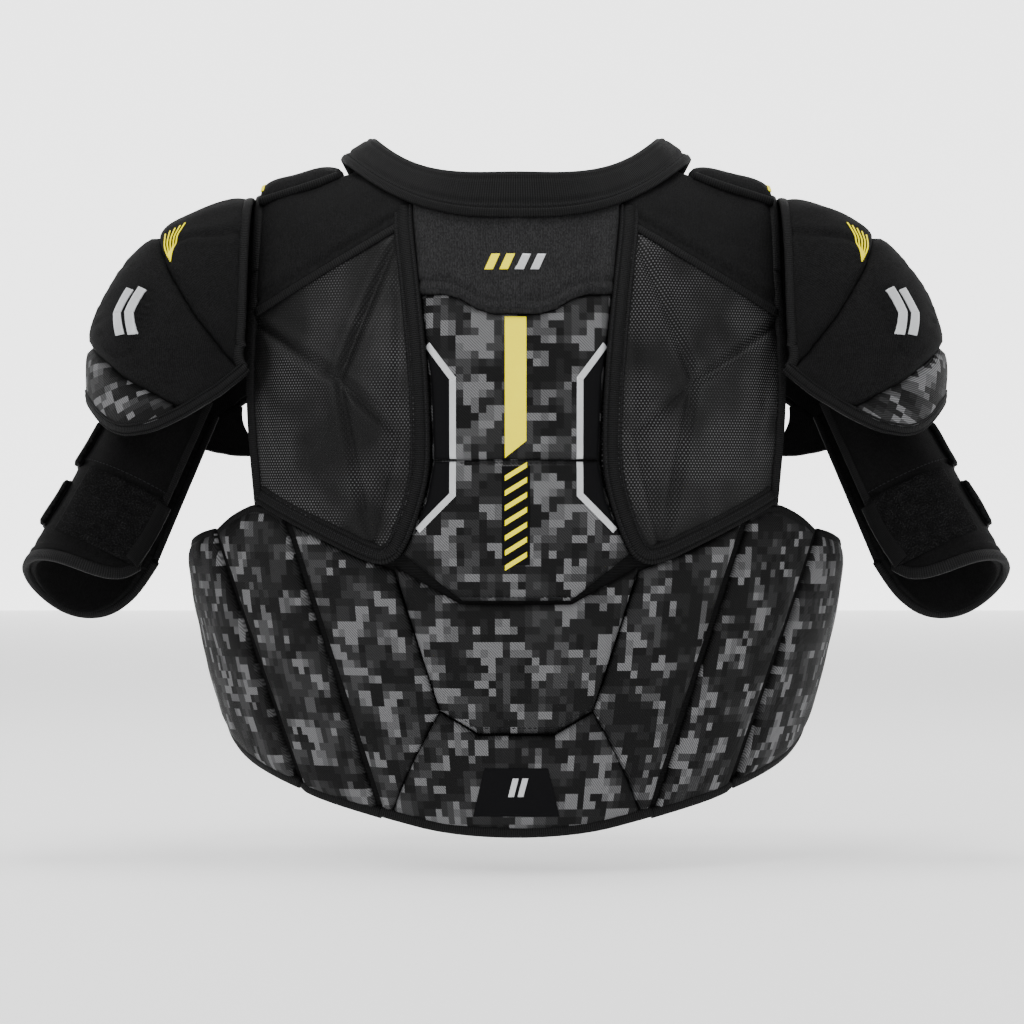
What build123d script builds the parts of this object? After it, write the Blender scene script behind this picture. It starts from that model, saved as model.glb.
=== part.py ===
"""Ice hockey shoulder pads, as they hang in the shape of the wearer's torso.

+X is to the wearer's right-hand side of the back view, +Z is up, and the wearer's back faces -Y.
The origin is the middle of the neck opening, level with the inner side of the shoulder arches.
All sizes are in millimetres. The torso is a smooth form: an ellipse at every height that
narrows to the waist and rolls over to a ridge along the shoulders. Each pad is a wall of that
form, trimmed by its own outline, and the arm pieces are built in a frame at the shoulder joint.
"""

import os
from math import asin, atan2, cos, degrees, hypot, pi, radians, sin, sqrt

from build123d import *

os.makedirs("parts", exist_ok=True)

# Torso form
HALF_WIDTH = 243.0  # at the chest
WAIST_NARROWING = 60.0  # how much of it is lost at the bottom edge
BACK_DEPTH = 142.0  # from the ridge line back to the outer face
FRONT_DEPTH = 120.0
WAIST_FLATTENING = 14.0
TAPER_START = -216.0  # height where the form begins to narrow
TAPER_LENGTH = 244.0
TAPER_POWER = 1.8
RIDGE_AT_CENTRE = 56.0  # height of the shoulder ridge if it ran on to x = 0
RIDGE_SLOPE = 0.26
ROLL_HEIGHT = 200.0  # height over which the back rolls over to the ridge

# Layers, measured inwards from the outer face
PAD = (0.0, 9.0)
PLATE = (9.5, 11.5)
LINER = (12.2, 15.2)
WING = (0.0, 10.0)
PATCH = (-2.0, -0.6)  # a patch stands proud of the face
SEAM = 1.0  # gap between neighbours on one body
FLEX_GAP = 5.5  # open channel at a living hinge

# Arm assembly
ARM_LEAN = 10.0  # degrees that the arms trail towards the back
SHOULDER = (181.0, 0.0, -131.0)  # centre of the cap's dome
CAP_RADIUS = 134.0
CAP_HALF_DEPTH = 106.0
CAP_POWER = 3.0  # 2 would make its section an ellipse; more makes it squarer
CAP_PAD = (0.0, 9.0)
CAP_SHELL = (9.6, 12.0)
CAP_INNER_PLANE = 195.0
GUARD_TOP = (67.0, -7.0)  # along x and z from the shoulder centre
GUARD_TILT = 25.0  # degrees from straight down, outwards
GUARD_LENGTH = 150.0  # at the back; the cuff slants down to the front
CUFF_SLANT = 14.0  # degrees
GUARD_RADII = (36.0, 40.0, 46.0, 53.0)  # across and deep at the top, then at the cuff
GUARD_WRAP = 140.0  # half of the angle that the guard covers
GUARD_WALL = 8.0
STRAP_WIDTH = 38.0


def taper(z):
    """How far the torso has narrowed at height z, from 0 at the chest to 1 at the bottom edge."""
    return (max(0.0, TAPER_START - z) / TAPER_LENGTH) ** TAPER_POWER


def torso_point(angle, z, side=-1, inset=0.0):
    """The point of the torso form at an angle from its centre line, inset along the level normal."""
    across = HALF_WIDTH - WAIST_NARROWING * taper(z)
    deep = (BACK_DEPTH if side < 0 else FRONT_DEPTH) - WAIST_FLATTENING * taper(z)
    s, c = sin(radians(angle)), cos(radians(angle))
    drop = min(1.0, max(0.0, (RIDGE_AT_CENTRE - RIDGE_SLOPE * abs(across * s) - z) / ROLL_HEIGHT))
    deep *= sqrt(1 - (1 - drop) ** 2)
    nx, ny = s / across, c / deep
    n = hypot(nx, ny)
    return across * s - inset * nx / n, side * (deep * c - inset * ny / n)


def roll_point(x, roll, side=-1, inset=0.0):
    """(y, z) on the torso form at x, rolled back from the shoulder ridge by an angle."""
    deep = (BACK_DEPTH if side < 0 else FRONT_DEPTH) * sqrt(1 - (x / HALF_WIDTH) ** 2)
    s, c = sin(radians(roll)), cos(radians(roll))
    ny, nz = s / deep, c / ROLL_HEIGHT
    n = hypot(ny, nz)
    top = RIDGE_AT_CENTRE - RIDGE_SLOPE * abs(x)
    return side * (deep * s - inset * ny / n), top - ROLL_HEIGHT * (1 - c) - inset * nz / n


def roll_at(x, z):
    """The roll angle at which the torso form at x is z high."""
    top = RIDGE_AT_CENTRE - RIDGE_SLOPE * abs(x)
    share = max(-1.0, min(1.0, 1 - (top - z) / ROLL_HEIGHT))
    return degrees(atan2(sqrt(1 - share**2), share))


def ring_wall(levels, angles, layer, side=-1):
    """A wall of the torso form between two angles, lofted through level sections."""
    count = max(6, round(abs(angles[1] - angles[0]) / 7))
    steps = [angles[0] + (angles[1] - angles[0]) * i / count for i in range(count + 1)]
    with BuildPart() as wall:
        for z in levels:
            with BuildSketch(Plane.XY.offset(z)):
                with BuildLine():
                    outer = Spline(*[torso_point(a, z, side, layer[0]) for a in steps])
                    inner = Spline(*[torso_point(a, z, side, layer[1]) for a in steps])
                    Line(outer @ 0, inner @ 0)
                    Line(outer @ 1, inner @ 1)
                make_face()
        loft()
    return wall.part


def shoulder_wall(stations, rolls, layer, side=-1):
    """A wall near the shoulder ridge, lofted through upright sections; rolls(x) gives its ends."""
    with BuildPart() as wall:
        for x in stations:
            start, end = rolls(x)
            steps = [start + (end - start) * i / 5 for i in range(6)]
            with BuildSketch(Plane.YZ.offset(x)):
                with BuildLine():
                    outer = Spline(*[roll_point(x, r, side, layer[0]) for r in steps])
                    inner = Spline(*[roll_point(x, r, side, layer[1]) for r in steps])
                    Line(outer @ 0, inner @ 0)
                    Line(outer @ 1, inner @ 1)
                make_face()
        loft()
    return wall.part


def trimmed(wall, outline, plane=Plane.XZ, reach=300.0):
    """The part of a wall that lies inside an outline drawn on the given plane."""
    with BuildPart() as piece:
        add(wall)
        with BuildSketch(plane):
            with BuildLine():
                Polyline(*outline, close=True)
            make_face()
        extrude(amount=reach, both=True, mode=Mode.INTERSECT)
    return piece.part


def save(part, name):
    """Labels a finished piece and writes it as its own STEP file."""
    part.label = name
    export_step(part, f"parts/{name}.step")


def save_pair(part, name):
    """Writes a piece made for +X as right_NAME and its mirror image as left_NAME."""
    save(part, f"right_{name}")
    with BuildPart() as other:
        mirror(part, about=Plane.YZ)
    save(other.part, f"left_{name}")


def both_sides(half):
    """A closed outline from its +X half, listed from the top centre to the bottom centre."""
    return half + [(-x, z) for x, z in reversed(half) if x > 0]


# ---------------------------------------------------------------- collar
COLLAR_WALL = 6.0
COLLAR_SIDE = 127.0
COLLAR_BACK = 113.0
COLLAR_FRONT = 111.0
COLLAR_LEAN = 21.0  # how far in the top edge stands from the bottom edge at the sides
COLLAR_RISE = 16.0
COLLAR_FOOT = 36.0  # height of the bottom edge at the sides
COLLAR_DROP = 51.0  # from there down to the bottom edge at the middle of the back
COLLAR_FRONT_DROP = 92.0


def collar_foot(x, drop):
    """Height of the collar's bottom edge at x."""
    return COLLAR_FOOT - drop * (1 - min(1.0, abs(x) / COLLAR_SIDE) ** 2.6)


def collar_half(start, end, deep, drop):
    """Half of the collar band, lofted through upright sections that turn about the neck."""
    with BuildPart() as band:
        for i in range(11):
            angle = radians(start + (end - start) * i / 10)
            x = COLLAR_SIDE * sin(angle)
            y = -deep * cos(angle) * abs(cos(angle)) ** 0.25
            out, reach, height = Vector(x, y, 0).normalized(), hypot(x, y), collar_foot(x, drop)
            lean = COLLAR_LEAN - 7 * out.Y**2
            rise = COLLAR_RISE + 16 * out.Y**2
            upright = Plane(origin=(0, 0, 0), x_dir=out, z_dir=out.cross(Vector(0, 0, 1)))
            with BuildSketch(upright):
                with BuildLine():
                    Polyline(
                        (reach, height),
                        (reach - lean, height + rise),
                        (reach - lean - COLLAR_WALL, height + rise - 1),
                        (reach - COLLAR_WALL, height - 1),
                        close=True,
                    )
                make_face()
        loft()
    return band.part


save(collar_half(-89, 89, COLLAR_BACK, COLLAR_DROP), "collar_back")
save(collar_half(91, 269, COLLAR_FRONT, COLLAR_FRONT_DROP), "collar_front")

# ---------------------------------------------------------------- centre of the back
BACK_LEVELS = (10, -40, -100, -160, -216, -260)
WAIST_LEVELS = (-210, -250, -290, -330, -370, -410, -455)
CENTRE_ANGLE = 27.0

upper_centre = ring_wall(BACK_LEVELS + (-300,), (-CENTRE_ANGLE, CENTRE_ANGLE), PAD)
lower_centre = ring_wall((-245, -290, -330, -370, -410, -455), (-34, 34), WING)

NAPE = [(0, -18.5), (35, -17), (66, -9.5)]
YOKE_SEAM = [(64, -71), (38, -71), (20, -85), (0, -85)]
name_panel = trimmed(upper_centre, both_sides(NAPE + YOKE_SEAM))
save(name_panel, "name_panel")

spine_upper = trimmed(
    upper_centre,
    both_sides([(0, -86), (20, -86), (38, -72), (64, -72), (57, -130), (55, -188), (0, -188)]),
)
save(spine_upper, "spine_upper_pad")

spine_middle = trimmed(
    upper_centre,
    both_sides([(0, -189), (55, -189), (60, -217), (72, -244), (70, -259), (37, -286), (0, -286)]),
)
save(spine_middle, "spine_middle_pad")

lumbar = trimmed(
    lower_centre,
    both_sides([(0, -291), (39, -291), (75, -264), (86, -266), (54, -364), (27, -380), (0, -380)]),
)
save(lumbar, "lumbar_pad")

tail = trimmed(
    lower_centre,
    both_sides([(0, -381), (27, -381), (54, -365.5), (88, -437), (50, -447), (0, -450)]),
)
save(tail, "tail_pad")

tail_patch = ring_wall((-395, -420, -444), (-14, 14), PATCH)
badge = trimmed(tail_patch, both_sides([(0, -404), (26, -404), (38, -438), (0, -440)]))
save(badge, "tail_badge")

spine_plate = trimmed(
    ring_wall(BACK_LEVELS, (-18, 18), PLATE),
    both_sides([(0, -60), (40, -60), (44, -120), (40, -200), (30, -246), (0, -252)]),
)
save(spine_plate, "spine_plate")

# ---------------------------------------------------------------- shoulder blades and yoke
BLADE_LEVELS = (-15, -40, -75, -125, -175, -220, -275)
blade_wall = ring_wall(BLADE_LEVELS, (12, 56), PAD)
BLADE_INNER = [(74, -19), (67, -72), (61, -130), (59, -188), (64, -217), (76, -246), (92, -261)]
BLADE_OUTER = [(183, -218), (190, -131), (188, -86)]
blade = trimmed(blade_wall, BLADE_INNER + BLADE_OUTER)
save_pair(blade, "blade_pad")

blade_plate = trimmed(
    ring_wall(BLADE_LEVELS[1:], (16, 52), PLATE),
    [(84, -70), (76, -180), (100, -245), (172, -210), (178, -100)],
)
save_pair(blade_plate, "blade_plate")


def yoke_rolls(x):
    """The yoke runs from the collar, or the shoulder arch, down past the top of the blade pad."""
    return max(13.0, roll_at(x, collar_foot(x, COLLAR_DROP) - 2)), roll_at(x, -30 - 0.6 * (x - 75))


yoke = trimmed(
    shoulder_wall((78, 104, 130, 158, 187), yoke_rolls, PAD),
    [(70, 60), (195, 60), (195, -89), (70, -15.5)],
)
save_pair(yoke, "yoke_pad")

back_liner = ring_wall((-30, -80, -140, -200, -212), (-47, 47), LINER)
save(back_liner, "back_liner")

# ---------------------------------------------------------------- shoulder arches
ARCH = (-11.0, -0.8)
ARCH_BACK_ROLL, ARCH_FRONT_ROLL = 17.0, 11.0

with BuildPart() as arch:
    for x in (129, 143, 158, 173, 187):
        back = [ARCH_BACK_ROLL * (1 - i / 2) for i in range(3)]
        front = [ARCH_FRONT_ROLL * (i + 1) / 2 for i in range(2)]
        with BuildSketch(Plane.YZ.offset(x)):
            with BuildLine():
                faces = [
                    Spline(
                        *[roll_point(x, r, -1, inset) for r in back],
                        *[roll_point(x, r, 1, inset) for r in front],
                    )
                    for inset in ARCH
                ]
                Line(faces[0] @ 0, faces[1] @ 0)
                Line(faces[0] @ 1, faces[1] @ 1)
            make_face()
    loft()
save_pair(arch.part, "shoulder_arch")

# ---------------------------------------------------------------- wings round the waist
side_wall = ring_wall(WAIST_LEVELS, (18, 82), WING)
end_wall = ring_wall(WAIST_LEVELS, (46, 116), WING)


def crease_x(z, top, slope):
    """Where a crease of the wing runs at height z."""
    return top[0] - slope * (top[1] - z)


FIRST_TOP, FIRST_SLOPE = (163.0, -233.0), 0.326
SECOND_TOP, SECOND_SLOPE = (218.5, -240.0), 0.351
HALF_GAP = FLEX_GAP / 2


def first_crease(z, offset=0.0):
    return (crease_x(z, FIRST_TOP, FIRST_SLOPE) + offset, z)


def second_crease(z, offset=0.0):
    return (crease_x(z, SECOND_TOP, SECOND_SLOPE) + offset, z)


wing_inner = trimmed(
    side_wall,
    [(89, -270), first_crease(-237, -HALF_GAP), first_crease(-436, -HALF_GAP), (90, -437), (56, -364)],
)
save_pair(wing_inner, "wing_inner_pad")

WING_TOP = [(184, -229), (214, -239)]
wing_middle = trimmed(
    side_wall,
    [
        first_crease(-238, HALF_GAP),
        *WING_TOP,
        second_crease(-240, -HALF_GAP),
        second_crease(-418, -HALF_GAP),
        (148, -424),
        first_crease(-440, HALF_GAP),
    ],
)
save_pair(wing_middle, "wing_middle_pad")

end_side = trimmed(
    end_wall,
    [second_crease(-232, HALF_GAP), (262, -225), (262, -440), second_crease(-440, HALF_GAP)],
)
wing_end = trimmed(
    end_side,
    [
        *[(-90, -237), (-40, -244), (10, -254), (42, -268), (50, -290), (46, -322)],
        *[(20, -366), (-30, -397), (-90, -423)],
    ],
    plane=Plane.YZ,
)
save_pair(wing_end, "wing_end_pad")

lower_liner = trimmed(
    ring_wall(WAIST_LEVELS[1:], (-24, 24), LINER),
    both_sides([(0, -300), (48, -292), (46, -364), (72, -428), (0, -440)]),
)
save(lower_liner, "lumbar_liner")

# ---------------------------------------------------------------- side straps
STRAP_ROOT = (222.5, 50.0)  # where the elastic leaves the wing
STRAP_MID = (208.0, 94.0)
STRAP_TIP = (184.0, 134.0)
SIDE_STRAP_LEVEL = -297.0
SIDE_STRAP_HALF = 21.0
WEBBING = 2.2

with BuildPart() as side_strap:
    with BuildSketch(Plane.XY.offset(SIDE_STRAP_LEVEL - SIDE_STRAP_HALF)):
        with BuildLine() as strap_line:
            Spline(STRAP_ROOT, STRAP_MID, STRAP_TIP)
        trace(line_width=WEBBING)
    extrude(amount=2 * SIDE_STRAP_HALF)
save_pair(side_strap.part, "side_strap")

TAB_START = (182.4, 136.0)
TAB_END = (161.0, 160.0)
with BuildPart() as side_tab:
    with BuildSketch(Plane.XY.offset(SIDE_STRAP_LEVEL - 19)):
        with BuildLine():
            Line(TAB_START, TAB_END)
        trace(line_width=3.2)
    extrude(amount=38)
save_pair(side_tab.part, "side_strap_tab")

# ---------------------------------------------------------------- front
FRONT_LEVELS = (-8, -40, -75, -110, -150, -200, -262)
front_wall = ring_wall(FRONT_LEVELS, (-15, 15), PAD, side=1)
sternum = trimmed(
    front_wall,
    both_sides([(0, -72), (24, -70), (40, -68), (40, -190), (30, -236), (0, -240)]),
)
save(sternum, "sternum_pad")

sternum_plate = trimmed(
    ring_wall(FRONT_LEVELS, (-10, 10), PLATE, side=1),
    both_sides([(0, -96), (30, -100), (30, -186), (22, -226), (0, -228)]),
)
save(sternum_plate, "sternum_plate")

chest = trimmed(
    ring_wall(FRONT_LEVELS, (8, 50), PAD, side=1),
    [
        *[(42, -66), (66, -54), (92, -30), (110, -13), (128, -10), (182, -40)],
        *[(176, -130), (160, -196), (140, -234), (42, -240)],
    ],
)
save_pair(chest, "chest_pad")


def collarbone_rolls(x):
    """The collarbone pad runs from the collar, or the shoulder arch, down past the chest's top."""
    start = max(15.5, roll_at(x, collar_foot(x, COLLAR_FRONT_DROP) - 7))
    return start, roll_at(x, -20 - 0.55 * max(0, x - 128))


collarbone = trimmed(
    shoulder_wall((116, 126, 138, 160, 184), collarbone_rolls, PAD, side=1),
    [(105, 60), (195, 60), (195, -46), (128.5, -9), (105, -9)],
)
save_pair(collarbone, "collarbone_pad")

BELLY_LEVELS = (-235, -270, -310, -350, -400)
belly = trimmed(
    ring_wall(BELLY_LEVELS, (-42, 42), PAD, side=1),
    both_sides([(0, -245), (140, -239), (144, -300), (112, -372), (60, -392), (0, -396)]),
)
save(belly, "belly_pad")

front_liner = trimmed(
    ring_wall(FRONT_LEVELS[:-1] + (-236,), (-44, 44), LINER, side=1),
    both_sides([(0, -100), (60, -80), (112, -50), (158, -70), (150, -180), (120, -226), (0, -230)]),
)
save(front_liner, "front_liner")

patch = trimmed(
    ring_wall(BELLY_LEVELS, (20, 40), PATCH, side=1),
    [(94, -272), (136, -272), (136, -322), (94, -322)],
)
save_pair(patch, "front_loop_patch")

# ---------------------------------------------------------------- arm frame
lean = radians(ARM_LEAN)
ARM = Plane(origin=SHOULDER, x_dir=(1, 0, 0), z_dir=(0, sin(lean), cos(lean)))


def arm_plane(x_dir, z_dir, origin=(0, 0, 0)):
    """A plane given in the arm frame."""
    return Plane(
        origin=ARM.from_local_coords(Vector(*origin)),
        x_dir=ARM.from_local_coords(Vector(*x_dir)) - ARM.origin,
        z_dir=ARM.from_local_coords(Vector(*z_dir)) - ARM.origin,
    )


def cap_profile(inset, half_turn):
    """Points across the dome, from its front to its back, as (fore-aft, radial)."""
    points = []
    for i in range(15):
        turn = radians(90 - half_turn + half_turn * i / 7)
        c, s = cos(turn), sin(turn)
        bulge = (abs(c) ** CAP_POWER + abs(s) ** CAP_POWER) ** (-1 / CAP_POWER)
        points.append(((CAP_HALF_DEPTH - inset) * c * bulge, (CAP_RADIUS - inset) * s * bulge))
    return points


def cap_dome(layer, half_turn=78.0, sweep=125.0):
    """The cap's dome, turned about the fore-aft axis from straight up to below the outer side."""
    with BuildPart() as dome:
        with BuildSketch(arm_plane((0, 1, 0), (1, 0, 0))):
            with BuildLine():
                faces = [Spline(*cap_profile(inset, half_turn)) for inset in layer]
                Line(faces[0] @ 0, faces[1] @ 0)
                Line(faces[0] @ 1, faces[1] @ 1)
            make_face()
        revolve(axis=Axis(ARM.origin, ARM.y_dir), revolution_arc=sweep)
    return dome.part


def outside_of_body(part):
    """Keeps what is on the arm's side of the cap's inner edge."""
    with BuildPart() as kept:
        add(part)
        split(bisect_by=Plane(origin=(CAP_INNER_PLANE, 0, 0), z_dir=(1, 0, 0)), keep=Keep.TOP)
    return kept.part


HEM = [(190, -122), (209, -138), (235, -155), (259, -166), (279, -169), (294, -163), (303, -153)]
HEM_END = [(318, -137), (345, -126)]
CREASE = [(262, -21), (250, -50), (229, -84), (200, -119)]  # between the two knit pads
TIP_SEAM = [(246, -147), (280, -130), (345, -78)]

dome = outside_of_body(cap_dome(CAP_PAD))
save_pair(trimmed(dome, [(190, 20), (262, 20), *CREASE, (190, -122)]), "cap_top_pad")
middle = [(x + 1, z) for x, z in CREASE] + HEM[1:3] + [(x - 1, z + 1) for x, z in TIP_SEAM]
save_pair(trimmed(dome, [(263, 20), *middle, (345, 20)]), "cap_middle_pad")
save_pair(trimmed(dome, [*TIP_SEAM, *reversed(HEM_END), *reversed(HEM[2:])]), "cap_tip_pad")

shell = outside_of_body(cap_dome(CAP_SHELL, half_turn=64))
shell_edge = [(200, 10), (200, -92), (235, -126), (270, -140), (298, -134), (345, -112), (345, 10)]
save_pair(trimmed(shell, shell_edge), "cap_shell")

# ---------------------------------------------------------------- bicep guard
tilt = radians(GUARD_TILT)
DOWN_ARM = (sin(tilt), 0, -cos(tilt))
ACROSS_ARM = (cos(tilt), 0, sin(tilt))


def guard_plane(along):
    """The plane across the upper arm at a distance below the guard's top, x outwards, y forwards."""
    at = (GUARD_TOP[0] + DOWN_ARM[0] * along, 0, GUARD_TOP[1] + DOWN_ARM[2] * along)
    return arm_plane(ACROSS_ARM, tuple(-d for d in DOWN_ARM), at)


def guard_radii(along, outset=0.0):
    """The guard's outer half width and half depth at a distance below its top."""
    share = along / GUARD_LENGTH
    across = GUARD_RADII[0] + (GUARD_RADII[2] - GUARD_RADII[0]) * share
    deep = GUARD_RADII[1] + (GUARD_RADII[3] - GUARD_RADII[1]) * share
    return across + outset, deep + outset


def guard_band(stations, start, end, layer):
    """A band round the upper arm between two angles, lofted through sections across the arm."""
    with BuildPart() as band:
        for along in stations:
            with BuildSketch(guard_plane(along)):
                ends = []
                with BuildLine():
                    for outset in layer:
                        rx, ry = guard_radii(along, outset)
                        arc = EllipticalCenterArc((0, 0), rx, ry, start, arc_size=end - start)
                        ends.append(arc)
                    Line(ends[0] @ 0, ends[1] @ 0)
                    Line(ends[0] @ 1, ends[1] @ 1)
                make_face()
        loft()
    return band.part


GUARD_LAYER = (0.0, -GUARD_WALL)
SHELL_LAYER = (-GUARD_WALL - 0.5, -GUARD_WALL - 2.5)
PATCH_LAYER = (2.0, 0.6)
BAND_LAYER = (3.0, 0.7)

with BuildPart() as guard:
    add(guard_band((0, 75, GUARD_LENGTH, GUARD_LENGTH + 26), -GUARD_WRAP, GUARD_WRAP, GUARD_LAYER))
    cuff = guard_plane(GUARD_LENGTH + GUARD_RADII[3] * sin(radians(CUFF_SLANT)))
    split(bisect_by=cuff.rotated((-CUFF_SLANT, 0, 0)), keep=Keep.TOP)
save_pair(guard.part, "bicep_pad")
guard_shell = guard_band((30, 80, 130), -95, 95, SHELL_LAYER)
save_pair(guard_shell, "bicep_shell")
loop_patch = guard_band((80, 108, 136), -134, -52, PATCH_LAYER)
save_pair(loop_patch, "bicep_loop_patch")

ARM_STRAPS = {"upper": 64.0, "lower": 114.0}
for name, along in ARM_STRAPS.items():
    span = (along - STRAP_WIDTH / 2, along, along + STRAP_WIDTH / 2)
    save_pair(guard_band(span, -24, 92, BAND_LAYER), f"{name}_arm_strap")

hanger = guard_band((-62, -30, -2), -28, 28, (-3.0, -6.0))
save_pair(hanger, "arm_hanger")
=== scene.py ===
"""Looks of a set of ice hockey shoulder pads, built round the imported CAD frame.

Every soft piece is laid out flat in millimetres on a chart of the surface that it covers: the
torso, the shoulder ridge, the dome of a cap, the tube of a bicep guard or the ring of the collar.
A pad is then crowned, grooved, padded out and bound on that chart, so seams, tapes, stitches and
prints all follow one surface. Lengths are in millimetres until a mesh is placed, in metres.
"""

import logging
from collections.abc import Callable, Sequence
from dataclasses import dataclass, field
from enum import Enum
from math import cos, pi, radians, sin, tau

import bmesh
import bpy
import numpy as np
from mathutils import Matrix, Vector

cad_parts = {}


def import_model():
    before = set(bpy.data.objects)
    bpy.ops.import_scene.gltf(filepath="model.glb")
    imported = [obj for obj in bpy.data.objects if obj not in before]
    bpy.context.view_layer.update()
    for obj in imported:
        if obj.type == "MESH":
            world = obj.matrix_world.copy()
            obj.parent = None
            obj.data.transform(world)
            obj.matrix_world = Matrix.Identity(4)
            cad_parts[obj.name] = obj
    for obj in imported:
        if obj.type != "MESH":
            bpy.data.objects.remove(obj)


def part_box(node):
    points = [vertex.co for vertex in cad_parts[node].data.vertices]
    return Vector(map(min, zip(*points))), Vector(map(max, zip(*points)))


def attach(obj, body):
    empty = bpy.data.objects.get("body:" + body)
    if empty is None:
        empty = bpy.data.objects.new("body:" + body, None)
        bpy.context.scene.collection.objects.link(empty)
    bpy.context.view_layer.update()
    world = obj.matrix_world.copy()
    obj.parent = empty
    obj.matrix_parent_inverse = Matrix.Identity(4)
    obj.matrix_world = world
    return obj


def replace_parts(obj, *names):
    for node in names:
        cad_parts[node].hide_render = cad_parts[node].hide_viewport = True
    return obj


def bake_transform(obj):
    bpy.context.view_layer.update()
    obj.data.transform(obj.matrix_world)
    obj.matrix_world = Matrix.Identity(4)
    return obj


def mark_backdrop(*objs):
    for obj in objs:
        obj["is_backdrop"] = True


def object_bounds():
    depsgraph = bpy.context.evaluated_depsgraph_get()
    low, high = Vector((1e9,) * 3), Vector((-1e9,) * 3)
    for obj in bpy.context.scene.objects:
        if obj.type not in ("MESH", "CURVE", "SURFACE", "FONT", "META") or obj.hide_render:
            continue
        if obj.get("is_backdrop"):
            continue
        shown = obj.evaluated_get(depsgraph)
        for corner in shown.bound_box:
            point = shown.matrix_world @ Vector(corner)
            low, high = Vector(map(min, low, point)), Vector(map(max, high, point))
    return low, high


LOG = logging.getLogger("shoulder_pads")
MM = 0.001
FAR_AWAY = 1e9
TRACE_GAP = 3.0  # between the points that trace an edge or a groove
Line = Sequence[tuple[float, float]]
SIDES = {"right": 1.0, "left": -1.0}


# ------------------------------------------------------------------ shader graphs
class Signal:
    """A shader socket that adds its Math nodes when it is written in a sum."""

    def __init__(self, graph: "Graph", socket: bpy.types.NodeSocket) -> None:
        """Keep the socket and the graph that it belongs to."""
        self.graph = graph
        self.socket = socket

    def _apply(self, operation: str, *values: "Signal | float") -> "Signal":
        """Return the result of one Math node.

        Args:
            operation: the Math node's operation.
            values: what goes in, in order.

        Returns:
            The node's output.
        """
        node = self.graph.node("ShaderNodeMath", {"operation": operation}, dict(enumerate(values)))
        return Signal(self.graph, node.outputs[0])

    def __add__(self, other: "Signal | float") -> "Signal":
        """Sum."""
        return self._apply("ADD", self, other)

    __radd__ = __add__

    def __sub__(self, other: "Signal | float") -> "Signal":
        """Difference."""
        return self._apply("SUBTRACT", self, other)

    def __rsub__(self, other: float) -> "Signal":
        """Difference from a number."""
        return self._apply("SUBTRACT", other, self)

    def __mul__(self, other: "Signal | float") -> "Signal":
        """Product."""
        return self._apply("MULTIPLY", self, other)

    __rmul__ = __mul__

    def __truediv__(self, other: "Signal | float") -> "Signal":
        """Quotient."""
        return self._apply("DIVIDE", self, other)

    def floor(self) -> "Signal":
        """Whole part."""
        return self._apply("FLOOR", self)

    def fraction(self) -> "Signal":
        """Part after the point."""
        return self._apply("FRACT", self)

    def size(self) -> "Signal":
        """Absolute value."""
        return self._apply("ABSOLUTE", self)

    def root(self) -> "Signal":
        """Square root."""
        return self._apply("SQRT", self)

    def wave(self) -> "Signal":
        """Sine of the value in whole turns."""
        return self._apply("SINE", self * tau)

    def ramp(self, low: float, high: float) -> "Signal":
        """Smooth rise from 0 at low to 1 at high."""
        node = self.graph.node(
            "ShaderNodeMapRange",
            {"interpolation_type": "SMOOTHSTEP"},
            {"Value": self, "From Min": low, "From Max": high},
        )
        return Signal(self.graph, node.outputs["Result"])


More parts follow.
